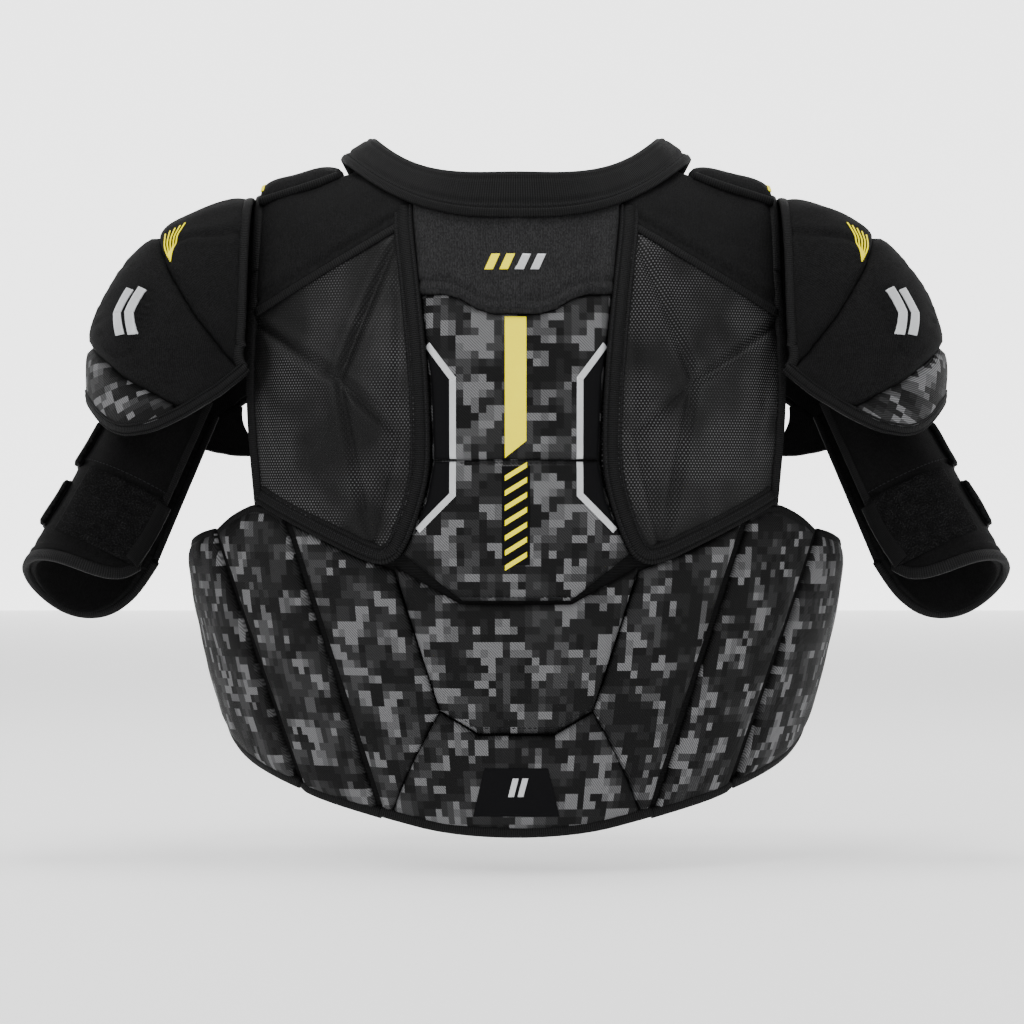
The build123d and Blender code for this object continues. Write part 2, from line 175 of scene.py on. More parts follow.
class Graph:
    """The nodes of one material."""

    def __init__(self, name: str) -> None:
        """Start a material with a shader and an output."""
        self.material = bpy.data.materials.new(f"{name}_finish")
        self.material.use_nodes = True
        self.tree = self.material.node_tree
        self.shader = self.tree.nodes["Principled BSDF"]

    def node(
        self, kind: str, settings: dict | None = None, sockets: dict | None = None
    ) -> bpy.types.Node:
        """Add a node.

        Args:
            kind: its type.
            settings: its properties, set first.
            sockets: a value, a Signal or a socket for each input, by name or place.

        Returns:
            The node.
        """
        made = self.tree.nodes.new(kind)
        for key, value in (settings or {}).items():
            if key == "stops":
                self._set_stops(made, value)
            else:
                setattr(made, key, value)
        for key, value in (sockets or {}).items():
            if isinstance(value, Signal):
                value = value.socket
            if isinstance(value, bpy.types.NodeSocket):
                self.tree.links.new(value, made.inputs[key])
            else:
                made.inputs[key].default_value = value
        return made

    @staticmethod
    def _set_stops(ramp: bpy.types.Node, stops: Sequence[tuple[float, tuple]]) -> None:
        """Give a colour ramp its stops."""
        elements = ramp.color_ramp.elements
        while len(elements) > 1:
            elements.remove(elements[-1])
        elements[0].position, elements[0].color = stops[0]
        for place, colour in stops[1:]:
            elements.new(place).color = colour

    def cloth_axes(self) -> tuple[Signal, Signal]:
        """The piece's own flat pattern, as across and along in millimetres."""
        uv = self.node("ShaderNodeUVMap", {"uv_map": "pattern"})
        parts = self.node("ShaderNodeSeparateXYZ", sockets={0: uv.outputs[0]})
        return Signal(self, parts.outputs[0]) * 1000.0, Signal(self, parts.outputs[1]) * 1000.0

    def noise(
        self, x: Signal, y: Signal, scale: float, detail: float = 2.0, seed: float = 0.0
    ) -> Signal:
        """Smooth noise over the flat pattern, from about 0.2 to 0.8.

        Args:
            x: across, in millimetres.
            y: along, in millimetres.
            scale: cycles in a millimetre.
            detail: how many finer layers it has.
            seed: which part of the noise it reads.

        Returns:
            The noise.
        """
        place = self.node("ShaderNodeCombineXYZ", sockets={0: x, 1: y, 2: seed})
        made = self.node(
            "ShaderNodeTexNoise",
            sockets={"Vector": place.outputs[0], "Scale": scale, "Detail": detail},
        )
        return Signal(self, made.outputs[0])

    def speck(self, x: Signal, y: Signal) -> Signal:
        """Unrelated values from 0 to 1, one for each place."""
        place = self.node("ShaderNodeCombineXYZ", sockets={0: x, 1: y})
        made = self.node(
            "ShaderNodeTexWhiteNoise", {"noise_dimensions": "2D"}, {0: place.outputs[0]}
        )
        return Signal(self, made.outputs["Value"])

    def tones(
        self, value: Signal, stops: Sequence[tuple[float, float]], hard: bool = False
    ) -> bpy.types.NodeSocket:
        """Grey cloth tones along a value.

        Args:
            value: what picks the tone.
            stops: place and tone of each stop.
            hard: True for steps, False for a blend.

        Returns:
            The colour socket.
        """
        colours = [(place, (tone, tone, tone * 1.03, 1.0)) for place, tone in stops]
        settings = {"stops": colours}
        made = self.node("ShaderNodeValToRGB", settings, {0: value})
        made.color_ramp.interpolation = "CONSTANT" if hard else "LINEAR"
        return made.outputs[0]

    def shade(self, colour: bpy.types.NodeSocket, amount: Signal) -> bpy.types.NodeSocket:
        """Scale a colour by a signal."""
        made = self.node(
            "ShaderNodeVectorMath", {"operation": "SCALE"}, {0: colour, "Scale": amount}
        )
        return made.outputs[0]

    def finish(
        self,
        colour: bpy.types.NodeSocket,
        height: Signal | None = None,
        relief: float = 0.3,
        roughness: Signal | float = 0.8,
        metallic: float = 0.0,
        specular: float = 0.06,
    ) -> bpy.types.Material:
        """Wire the shader.

        Args:
            colour: the base colour.
            height: relief from 0 to 1, or None for a flat face.
            relief: the relief's depth in millimetres.
            roughness: one value, or one over the surface.
            metallic: 1 for foil.
            specular: how strongly it mirrors at right angles.

        Returns:
            The material.
        """
        self.tree.links.new(colour, self.shader.inputs["Base Color"])
        if isinstance(roughness, Signal):
            self.tree.links.new(roughness.socket, self.shader.inputs["Roughness"])
        else:
            self.shader.inputs["Roughness"].default_value = roughness
        self.shader.inputs["Metallic"].default_value = metallic
        self.shader.inputs["Specular IOR Level"].default_value = specular
        if height is not None:
            bump = self.node(
                "ShaderNodeBump",
                sockets={"Strength": 1.0, "Distance": relief * MM, "Height": height},
            )
            self.tree.links.new(bump.outputs[0], self.shader.inputs["Normal"])
        return self.material


@dataclass(frozen=True)
class Knit:
    """Heather knit: fine columns of loops with paler fibres in them."""

    name: str = "black_knit"
    dark: float = 0.0025
    pale: float = 0.0115
    column: float = 1.15

    def material(self) -> bpy.types.Material:
        """Build the knit."""
        g = Graph(self.name)
        x, y = g.cloth_axes()
        lean = (y / self.column).wave().size() * 0.35
        ribs = (x / self.column + lean).wave() * 0.5 + 0.5
        fibre = g.speck((x / 0.55).floor(), (y / 1.1).floor())
        cloud = g.noise(x, y, 0.09, 4.0)
        mixed = fibre * 0.45 + ribs * 0.3 + cloud * 0.35
        colour = g.tones(mixed, [(0.25, self.dark), (0.62, self.pale * 0.62), (0.9, self.pale)])
        return g.finish(colour, ribs * 0.7 + fibre * 0.3, 0.22, cloud * 0.2 + 0.68)


@dataclass(frozen=True)
class Camouflage:
    """Twill printed with a block camouflage in greys."""

    name: str = "camouflage_weave"
    block: float = 5.4
    twill: float = 2.1

    def material(self) -> bpy.types.Material:
        """Build the weave."""
        g = Graph(self.name)
        x, y = g.cloth_axes()
        across, along = (x / self.block).floor(), (y / self.block).floor()
        jitter = g.speck(across, along)
        blobs = g.noise(across, along, 0.21, 1.6, 3.7)
        flecks = g.noise(across, along * 1.2, 0.36, 0.6, 9.1)
        ground = g.noise(across, along, 0.33, 2.0, 5.2)
        light = (flecks + (jitter - 0.5) * 0.08 + (blobs - 0.5) * 0.5).ramp(0.585, 0.586)
        shade = ground * 0.7 + blobs * 0.3 + (jitter - 0.5) * 0.05
        body = g.tones(
            shade, [(0.0, 0.004), (0.455, 0.009), (0.52, 0.018), (0.575, 0.034)], hard=True
        )
        picked = g.tones(
            jitter * 0.25 + blobs * 0.75, [(0.0, 0.052), (0.46, 0.082), (0.54, 0.12)], hard=True
        )
        mixed = g.node(
            "ShaderNodeMix",
            {"data_type": "RGBA"},
            {0: light, 6: body, 7: picked},
        )
        thread = ((x + y) / self.twill).wave() * 0.5 + 0.5
        fibre = g.noise(x, y, 1.3, 2.0)
        toned = g.shade(mixed.outputs[2], thread * 0.85 + fibre * 0.5 + 0.26)
        return g.finish(toned, thread, 0.26, fibre * 0.25 + 0.5, specular=0.1)


@dataclass(frozen=True)
class MouldedMesh:
    """Open mesh in staggered rows, pressed over foam."""

    name: str = "moulded_mesh"
    pitch: float = 2.5
    row: float = 1.9

    def material(self) -> bpy.types.Material:
        """Build the mesh."""
        g = Graph(self.name)
        x, y = g.cloth_axes()
        rows = y / self.row
        shift = (rows.floor() * 0.5).fraction()
        across = ((x / self.pitch + shift).fraction() - 0.5) * self.pitch
        along = (rows.fraction() - 0.5) * self.row
        reach = (across * across + along * along * 1.5).root()
        yarn = reach.ramp(0.4, 0.85)
        # The pale dots in the holes are partly the pale base under the mesh and partly painted
        # glints; the large cloud brightens patches as painted light on lit facets.
        cloud = g.noise(x, y, 0.014, 2.0, 2.0).ramp(0.38, 0.66)
        fibre = g.noise(x, y, 0.9, 2.0)
        hole_base_and_painted_glint = (1.0 - yarn) * (cloud * 0.85 + 0.15) + fibre * 0.12
        colour = g.tones(hole_base_and_painted_glint, [(0.05, 0.002), (0.3, 0.006), (0.95, 0.085)])
        return g.finish(colour, yarn, 0.6, 0.55 - yarn * 0.1, specular=0.15)


@dataclass(frozen=True)
class Ribbed:
    """Elastic rib that runs along the piece, on the collar and the tapes."""

    name: str
    tone: float = 0.016
    pitch: float = 1.5
    across: bool = False
    relief: float = 0.3
    rough: float = 0.6

    def material(self) -> bpy.types.Material:
        """Build the rib."""
        g = Graph(self.name)
        x, y = g.cloth_axes()
        way, other = (y, x) if self.across else (x, y)
        rib = ((other / self.pitch).wave() * 0.5 + 0.5).root()
        cross = (way / (self.pitch * 0.8)).wave() * 0.5 + 0.5
        cloud = g.noise(x, y, 0.15, 3.0)
        value = rib * 0.6 + cross * 0.15 + cloud * 0.3
        colour = g.tones(
            value, [(0.1, self.tone * 0.25), (0.6, self.tone * 0.9), (1.0, self.tone * 2.0)]
        )
        return g.finish(
            colour, rib * 0.8 + cross * 0.2, self.relief, cloud * 0.2 + self.rough - 0.1
        )


@dataclass(frozen=True)
class Pile:
    """Fuzzy loop side of a hook-and-loop fastening."""

    name: str = "loop_pile"

    def material(self) -> bpy.types.Material:
        """Build the pile."""
        g = Graph(self.name)
        x, y = g.cloth_axes()
        tufts = g.noise(x, y, 0.85, 4.0)
        patches = g.noise(x, y, 0.16, 2.0, 4.0)
        value = tufts * 0.8 + patches * 0.2
        colour = g.tones(value, [(0.36, 0.001), (0.52, 0.004), (0.68, 0.014)])
        return g.finish(colour, value, 1.2, 0.95)


@dataclass(frozen=True)
class Plain:
    """A smooth or lightly grained finish in one hue, for prints, thread and plastic."""

    name: str
    colour: tuple[float, float, float]
    grain: float = 0.8
    rough: float = 0.6
    metallic: float = 0.0
    relief: float = 0.05
    worn: float = 0.25

    def material(self) -> bpy.types.Material:
        """Build the finish."""
        g = Graph(self.name)
        x, y = g.cloth_axes()
        grain = g.noise(x, y, self.grain, 3.0)
        cloud = g.noise(x, y, 0.05, 2.0, 6.0)
        base = g.node("ShaderNodeRGB")
        base.outputs[0].default_value = (*self.colour, 1.0)
        toned = g.shade(base.outputs[0], grain * self.worn + cloud * self.worn + (1.0 - self.worn))
        return g.finish(
            toned, grain, self.relief, cloud * 0.2 + self.rough - 0.1, metallic=self.metallic
        )


class Finish(Enum):
    """Every finish on the pads, with the record's material slot that it belongs to."""

    KNIT = (Knit(), "black_knit")
    PANEL_KNIT = (Knit("panel_knit", 0.0085, 0.030), "black_knit")
    SMOOTH_KNIT = (Knit("brushed_knit", 0.0015, 0.006, 0.9), "brushed_knit")
    CAMO = (Camouflage(), "camouflage_weave")
    MESH = (MouldedMesh(), "moulded_mesh")
    COLLAR = (Ribbed("ribbed_collar", 0.0065, 1.7, across=True, relief=0.35), "ribbed_collar")
    TAPE = (Ribbed("edge_tape", 0.0065, 1.5, across=True, relief=0.5), "black_knit")
    WEBBING = (Ribbed("black_webbing", 0.005, 1.1, relief=0.35), "black_webbing")
    LINING = (Knit("lining_knit", 0.005, 0.014, 1.6), "lining_knit")
    PILE = (Pile(), "loop_pile")
    THREAD = (Plain("thread", (0.013, 0.013, 0.014), 1.6, 0.6), "black_knit")
    PLASTIC = (Plain("plastic_plate", (0.045, 0.045, 0.048), 0.5, 0.45), "plastic_plate")
    SILVER = (Plain("silver_foil", (0.50, 0.51, 0.52), 1.1, 0.42, metallic=0.25), "printed_badge")
    YELLOW = (Plain("yellow_print", (1.0, 0.86, 0.0), 1.1, 0.55, worn=0.1), "black_knit")
    BLACK_PRINT = (Plain("black_print", (0.003, 0.003, 0.0035), 1.2, 0.7), "black_knit")

    def __init__(self, look: Knit, slot: str) -> None:
        """Keep the look and the slot apart."""
        self.look = look
        self.slot = slot

    def material(self) -> bpy.types.Material:
        """The finish's material, built when it is first used."""
        return bpy.data.materials.get(f"{self.look.name}_finish") or self.look.material()


# ------------------------------------------------------------------ charts
@dataclass(frozen=True)
class Chart:
    """A curved surface that flat patterns, in millimetres, are laid on."""

    hand: float = 1.0
    outward: float = 1.0

    def _raw(self, u: np.ndarray, v: np.ndarray) -> np.ndarray:
        """Points of the wearer's right-hand side."""
        raise NotImplementedError

    def points(self, u: np.ndarray, v: np.ndarray) -> np.ndarray:
        """Surface points under flat places u, v."""
        found = self._raw(np.asarray(u, float), np.asarray(v, float))
        found[:, 0] *= self.hand
        return found

    def normals(self, u: np.ndarray, v: np.ndarray) -> np.ndarray:
        """Outward directions at flat places u, v."""
        step = 0.4
        along = self.points(u + step, v) - self.points(u - step, v)
        up = self.points(u, v + step) - self.points(u, v - step)
        found = np.cross(along, up) * self.outward * self.hand
        return found / np.maximum(np.linalg.norm(found, axis=1, keepdims=True), 1e-9)

    def lift(self, u: np.ndarray, v: np.ndarray, height: np.ndarray | float) -> np.ndarray:
        """Points that stand a height above the surface."""
        u, v = np.asarray(u, float), np.asarray(v, float)
        rise = np.broadcast_to(np.asarray(height, float), u.shape)
        return self.points(u, v) + self.normals(u, v) * rise[:, None]


@dataclass(frozen=True)
class Torso(Chart):
    """The torso's form, laid out as distance round the body and height."""

    half_width: float = 243.0
    narrowing: float = 60.0
    back_depth: float = 142.0
    front_depth: float = 120.0
    flattening: float = 14.0
    taper_start: float = -216.0
    taper_length: float = 244.0
    taper_power: float = 1.8
    ridge_top: float = 56.0
    ridge_slope: float = 0.26
    roll_height: float = 200.0
    front: bool = False

    def widths(self, z: np.ndarray) -> tuple[np.ndarray, np.ndarray]:
        """Half width and depth of the level section at height z."""
        share = (np.maximum(0.0, self.taper_start - z) / self.taper_length) ** self.taper_power
        depth = self.front_depth if self.front else self.back_depth
        return self.half_width - self.narrowing * share, depth - self.flattening * share

    def _raw(self, u: np.ndarray, v: np.ndarray) -> np.ndarray:
        """Points at a distance round and a height."""
        across, deep = self.widths(v)
        angle = u / self.half_width
        x = across * np.sin(angle)
        ridge = self.ridge_top - self.ridge_slope * np.abs(x)
        drop = np.clip((ridge - v) / self.roll_height, 0.0, 1.0)
        deep = deep * np.sqrt(np.maximum(1.0 - (1.0 - drop) ** 2, 1e-6))
        y = (1.0 if self.front else -1.0) * deep * np.cos(angle)
        return np.stack([x, y, v], axis=1)

    def lay(self, line: Line) -> list[tuple[float, float]]:
        """Flat places of points given as seen from behind, in x and z."""
        places = []
        for x, z in line:
            across = float(self.widths(np.array(z))[0])
            places.append((self.half_width * float(np.arcsin(np.clip(x / across, -1, 1))), z))
        return places

    def lay_side(self, line: Line) -> list[tuple[float, float]]:
        """Flat places of points given as seen from the side, in y and z."""
        places = []
        for y, z in line:
            deep = float(self.widths(np.array(z))[1])
            places.append((self.half_width * float(np.arccos(np.clip(-y / deep, -1, 1))), z))
        return places


@dataclass(frozen=True)
class Ridge(Torso):
    """The form near the shoulders, laid out as x and distance over the ridge; back is negative."""

    def _raw(self, u: np.ndarray, v: np.ndarray) -> np.ndarray:
        """Points at x = u and a distance v over the ridge."""
        roll = v / self.roll_height
        depth = np.where(v < 0, self.back_depth, self.front_depth)
        deep = depth * np.sqrt(np.maximum(1.0 - (u / self.half_width) ** 2, 1e-6))
        z = self.ridge_top - self.ridge_slope * np.abs(u) - self.roll_height * (1.0 - np.cos(roll))
        return np.stack([u, deep * np.sin(roll), z], axis=1)

    def over(self, x: float, z: float, back: bool = True) -> tuple[float, float]:
        """Flat place of the point that is z high at x."""
        share = 1.0 - (self.ridge_top - self.ridge_slope * abs(x) - z) / self.roll_height
        roll = self.roll_height * float(np.arccos(np.clip(share, -1.0, 1.0)))
        return x, -roll if back else roll


@dataclass(frozen=True)
class Arm(Chart):
    """Anything built in the arm's frame: x outwards, y forwards, z up, about the shoulder."""

    centre: tuple[float, float, float] = (181.0, 0.0, -131.0)
    lean: float = 10.0

    def world(self, x: np.ndarray, y: np.ndarray, z: np.ndarray) -> np.ndarray:
        """Points of the row's frame."""
        s, c = sin(radians(self.lean)), cos(radians(self.lean))
        found = np.stack([x, y * c + z * s, z * c - y * s], axis=1)
        return found + np.array(self.centre)


@dataclass(frozen=True)
class Dome(Arm):
    """The cap's dome, laid out as distance fore and aft of its ridge and down from the top."""

    outward: float = -1.0
    radius: float = 134.0
    half_depth: float = 106.0
    power: float = 3.0
    reach: float = 330.0
    stride: float = 0.75

    def _raw(self, u: np.ndarray, v: np.ndarray) -> np.ndarray:
        """Points fore or aft of the ridge by u and down from the top by v."""
        turn, sweep = u / self.half_depth, v / self.radius
        c, s = np.sin(turn), np.cos(turn)
        bulge = (np.abs(c) ** self.power + np.abs(s) ** self.power) ** (-1.0 / self.power)
        radial = self.radius * s * bulge
        return self.world(
            radial * np.sin(sweep), self.half_depth * c * bulge, radial * np.cos(sweep)
        )

    def crossing(
        self, u: float, beyond: Callable[[float, float], bool], start: float = 0.0
    ) -> float:
        """How far down the dome first passes a line seen from behind.

        Args:
            u: distance fore or aft of the ridge.
            beyond: whether a point, as x and z, is past the line.
            start: where to begin.

        Returns:
            The distance down from the top.
        """
        steps = np.arange(start, self.reach, self.stride)
        found = self.points(np.full_like(steps, u), steps)
        for step, (x, _, z) in zip(steps, found):
            if beyond(abs(x), z):
                return float(step)
        return self.reach


def corner(place: float, start: float, end: float) -> float:
    """Share of a rounded corner's drop at a place between its start and end."""
    share = min(1.0, max(0.0, (place - start) / (end - start)))
    return 1.0 - float(np.sqrt(max(0.0, 1.0 - share**2.4)))


@dataclass(frozen=True)
class Guard(Arm):
    """The bicep guard's tube, laid out as distance round it and distance down the arm."""

    outward: float = -1.0
    top: tuple[float, float] = (67.0, -7.0)
    tilt: float = 25.0
    length: float = 150.0
    radii: tuple[float, float, float, float] = (36.0, 40.0, 46.0, 53.0)
    slant: float = 14.0
    round_scale: float = 45.0
    back_cut: tuple[float, float] = (34.0, 62.0)
    front_cut: tuple[float, float] = (74.0, 40.0)
    cut_end: float = 112.0

    def _raw(self, u: np.ndarray, v: np.ndarray) -> np.ndarray:
        """Points round the arm by u and down it by v."""
        t = radians(self.tilt)
        share, angle = v / self.length, u / self.round_scale
        across = (self.radii[0] + (self.radii[2] - self.radii[0]) * share) * np.cos(angle)
        deep = (self.radii[1] + (self.radii[3] - self.radii[1]) * share) * np.sin(angle)
        x = self.top[0] + sin(t) * v + cos(t) * across
        z = self.top[1] - cos(t) * v + sin(t) * across
        return self.world(x, deep, z)

    def cuff(self, u: float) -> float:
        """How far down the arm the slanting cuff is at a distance round it."""
        slope = np.tan(radians(self.slant))
        full = self.length + slope * self.radii[3] * (1.0 + sin(u / self.round_scale))
        drop, start = self.back_cut if u < 0 else self.front_cut
        return full - drop * corner(abs(u), start, self.cut_end)


@dataclass(frozen=True)
class CollarRing(Chart):
    """The collar band, laid out as distance round the neck from the back and height up the band."""

    side: float = 127.0
    back: float = 113.0
    front: float = 111.0
    foot: float = 36.0
    drops: tuple[float, float] = (51.0, 92.0)
    lean: float = 21.0
    rise: float = 16.0
    band: float = 34.0
    round_scale: float = 120.0

    def _raw(self, u: np.ndarray, v: np.ndarray) -> np.ndarray:
        """Points round the neck by u and up the band by v."""
        angle = u / self.round_scale
        c = np.cos(angle)
        x = self.side * np.sin(angle)
        y = -np.where(c > 0, self.back, self.front) * c * np.abs(c) ** 0.25
        drop = np.where(c > 0, self.drops[0], self.drops[1])
        foot = self.foot - drop * (1.0 - np.minimum(1.0, np.abs(x) / self.side) ** 2.6)
        reach = np.hypot(x, y)
        ahead = (y / reach) ** 2
        share = v / self.band
        flare = share**1.25
        scale = 1.0 - (self.lean - 7.0 * ahead) * flare / reach
        return np.stack([x * scale, y * scale, foot + (self.rise + 16.0 * ahead) * share], axis=1)

    def foot_height(self, x: float, front: bool = False) -> float:
        """Height of the collar's bottom edge at x."""
        return self.foot - self.drops[int(front)] * (1 - min(1.0, abs(x) / self.side) ** 2.6)


# ------------------------------------------------------------------ flat patterns
def softened(line: Line, rounds: int) -> np.ndarray:
    """Cut the corners of a line, keeping its ends.

    Args:
        line: its points.
        rounds: how many times each corner is cut.

    Returns:
        The points of the softer line.
    """
    points = np.array(line, float)
    for _ in range(rounds if len(points) > 2 else 0):
        near = points[:-1] * 0.75 + points[1:] * 0.25
        far = points[:-1] * 0.25 + points[1:] * 0.75
        middle = np.empty((2 * len(near), 2))
        middle[0::2], middle[1::2] = near, far
        points = np.vstack([points[:1], middle, points[-1:]])
    return points


def along(points: np.ndarray, share: np.ndarray) -> np.ndarray:
    """Places at shares of a line's length."""
    runs = np.concatenate([[0.0], np.cumsum(np.linalg.norm(np.diff(points, axis=0), axis=1))])
    where = share * runs[-1]
    return np.stack([np.interp(where, runs, points[:, i]) for i in range(2)], axis=1)


def spaced(line: Line, gap: float, rounds: int = 2) -> np.ndarray:
    """A softened line with points an even gap apart."""
    points = softened(line, rounds)
    length = np.linalg.norm(np.diff(points, axis=0), axis=1).sum()
    return along(points, np.linspace(0.0, 1.0, max(2, round(length / gap) + 1)))


@dataclass
class Outline:
    """A four-sided flat pattern; each side runs left to right or bottom to top."""

    bottom: Line
    top: Line
    left: Line
    right: Line
    rounds: int = 1

    def spread(self, s: np.ndarray, t: np.ndarray) -> np.ndarray:
        """Flat places at shares s across and t up the pattern."""
        low, high, left, right = (
            along(softened(side, self.rounds), share)
            for side, share in ((self.bottom, s), (self.top, s), (self.left, t), (self.right, t))
        )
        s, t = s[:, None], t[:, None]
        corners = (
            (1 - s) * (1 - t) * np.array(self.bottom[0])
            + s * (1 - t) * np.array(self.bottom[-1])
            + (1 - s) * t * np.array(self.top[0])
            + s * t * np.array(self.top[-1])
        )
        return (1 - t) * low + t * high + (1 - s) * left + s * right - corners

    def counts(self, cell: float) -> tuple[int, int]:
        """Cells across and up for cells of a size."""
        sizes = [
            len(spaced(side, cell, 0)) for side in (self.bottom, self.top, self.left, self.right)
        ]
        return max(6, max(sizes[:2])), max(6, max(sizes[2:]))


def between(low: Line, high: Line, rounds: int = 0) -> Outline:
    """The pattern between two lines, with straight sides."""
    return Outline(low, high, [low[0], high[0]], [low[-1], high[-1]], rounds)


def even(torso: Torso, low: Line, high: Line, side: Line, rounds: int = 1) -> Outline:
    """A pattern that is the same on both sides of the middle.

    Args:
        torso: the form that it is laid on.
        low: the lower edge from the middle outwards, as seen from behind.
        high: the upper edge from the middle outwards.
        side: the outer edge, from the bottom up.
        rounds: how many times each corner is cut.

    Returns:
        The pattern.
    """
    lay = torso.lay
    far = [(-x, z) for x, z in side]
    return Outline(lay(whole(low)), lay(whole(high)), lay(far), lay(side), rounds)


@dataclass
class Groove:
    """A pressed or stitched line in a pad."""

    line: Line
    depth: float = 3.0
    width: float = 4.0
    rounds: int = 2


def nearest(places: np.ndarray, line: np.ndarray) -> np.ndarray:
    """Distance from each place to a chain of points in space."""
    best = np.full(len(places), FAR_AWAY)
    for a, b in zip(line[:-1], line[1:]):
        run = b - a
        square = max(float(run @ run), 1e-9)
        share = np.clip(((places - a) @ run) / square, 0.0, 1.0)
        best = np.minimum(best, np.linalg.norm(places - (a + share[:, None] * run), axis=1))
    return best


def ripple(points: np.ndarray, size: float, seed: float) -> np.ndarray:
    """Gentle unevenness of sewn cloth, about 1 high, over waves of a size in millimetres."""
    total = np.zeros(len(points))
    for i in range(5):
        way = np.array([sin(seed + 1.7 * i), cos(2.3 * seed + i), sin(0.7 * seed + 2.9 * i)])
        total += np.sin(points @ way * (tau / (size * (0.7 + 0.25 * i))) + seed * (i + 1))
    return total / 3.0


# ------------------------------------------------------------------ pieces
def put(
    obj: bpy.types.Object, finish: Finish, body: str, nodes: Sequence[str] = ()
) -> bpy.types.Object:
    """Give a piece its finish, its body and the CAD nodes that it stands for.

    Args:
        obj: the piece.
        finish: its finish.
        body: the CAD body that it moves with.
        nodes: the CAD nodes that it replaces.

    Returns:
        The piece.
    """
    obj.data.materials.clear()
    obj.data.materials.append(finish.material())
    if nodes:
        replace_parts(obj, *nodes)
    if body:
        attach(obj, body)
    LOG.info("%s: %d faces on %s", obj.name, len(obj.data.polygons), body or "a bend")
    return obj


def outside_out(mesh: bpy.types.Mesh) -> None:
    """Turn a closed mesh's faces outwards."""
    mesh.calc_loop_triangles()
    count = len(mesh.loop_triangles)
    corners = np.empty(count * 3, np.int32)
    mesh.loop_triangles.foreach_get("vertices", corners)
    places = np.empty(len(mesh.vertices) * 3, np.float32)
    mesh.vertices.foreach_get("co", places)
    places = places.reshape(-1, 3).astype(float)
    places -= places.mean(axis=0)
    a, b, c = (places[corners.reshape(-1, 3)[:, i]] for i in range(3))
    if np.einsum("ij,ij->i", a, np.cross(b, c)).sum() < 0:
        mesh.flip_normals()


def settle(mesh: bpy.types.Mesh, places: np.ndarray) -> None:
    """Move a mesh's points to places in millimetres and smooth its shading."""
    mesh.vertices.foreach_set("co", (places * MM).astype(np.float32).ravel())
    mesh.polygons.foreach_set("use_smooth", np.ones(len(mesh.polygons), bool))
    mesh.update()
    outside_out(mesh)


def unit_places(mesh: bpy.types.Mesh) -> np.ndarray:
    """The points of a mesh as an array."""
    found = np.empty(len(mesh.vertices) * 3, np.float32)
    mesh.vertices.foreach_get("co", found)
    return found.reshape(-1, 3).astype(float)


def write_pattern(mesh: bpy.types.Mesh, flat: np.ndarray, shift: tuple[float, float]) -> None:
    """Store each corner's place on the flat pattern, in metres."""
    layer = mesh.uv_layers.get("pattern") or mesh.uv_layers.new(name="pattern")
    corners = np.empty(len(mesh.loops), np.int32)
    mesh.loops.foreach_get("vertex_index", corners)
    values = (flat[corners] + np.array(shift)) * MM
    layer.data.foreach_set("uv", values.astype(np.float32).ravel())


def blank(name: str, columns: int, rows: int) -> bpy.types.Mesh:
    """A unit sheet with a top at height 1 and an underside at height 0, closed round its edge.

    Args:
        name: the mesh's name.
        columns: cells across.
        rows: cells up.

    Returns:
        The mesh.
    """
    bm = bmesh.new()
    bmesh.ops.create_grid(bm, x_segments=columns, y_segments=rows, size=0.5)
    bmesh.ops.translate(bm, verts=bm.verts, vec=(0.5, 0.5, 1.0))
    made = bmesh.ops.extrude_face_region(bm, geom=bm.faces[:], use_keep_orig=True)
    lower = [v for v in made["geom"] if isinstance(v, bmesh.types.BMVert)]
    bmesh.ops.translate(bm, verts=lower, vec=(0.0, 0.0, -1.0))
    bmesh.ops.recalc_face_normals(bm, faces=bm.faces)
    mesh = bpy.data.meshes.new(name)
    bm.to_mesh(mesh)
    bm.free()
    return mesh


def shown(name: str, mesh: bpy.types.Mesh) -> bpy.types.Object:
    """Put a mesh in the scene."""
    obj = bpy.data.objects.new(name, mesh)
    bpy.context.scene.collection.objects.link(obj)
    return obj


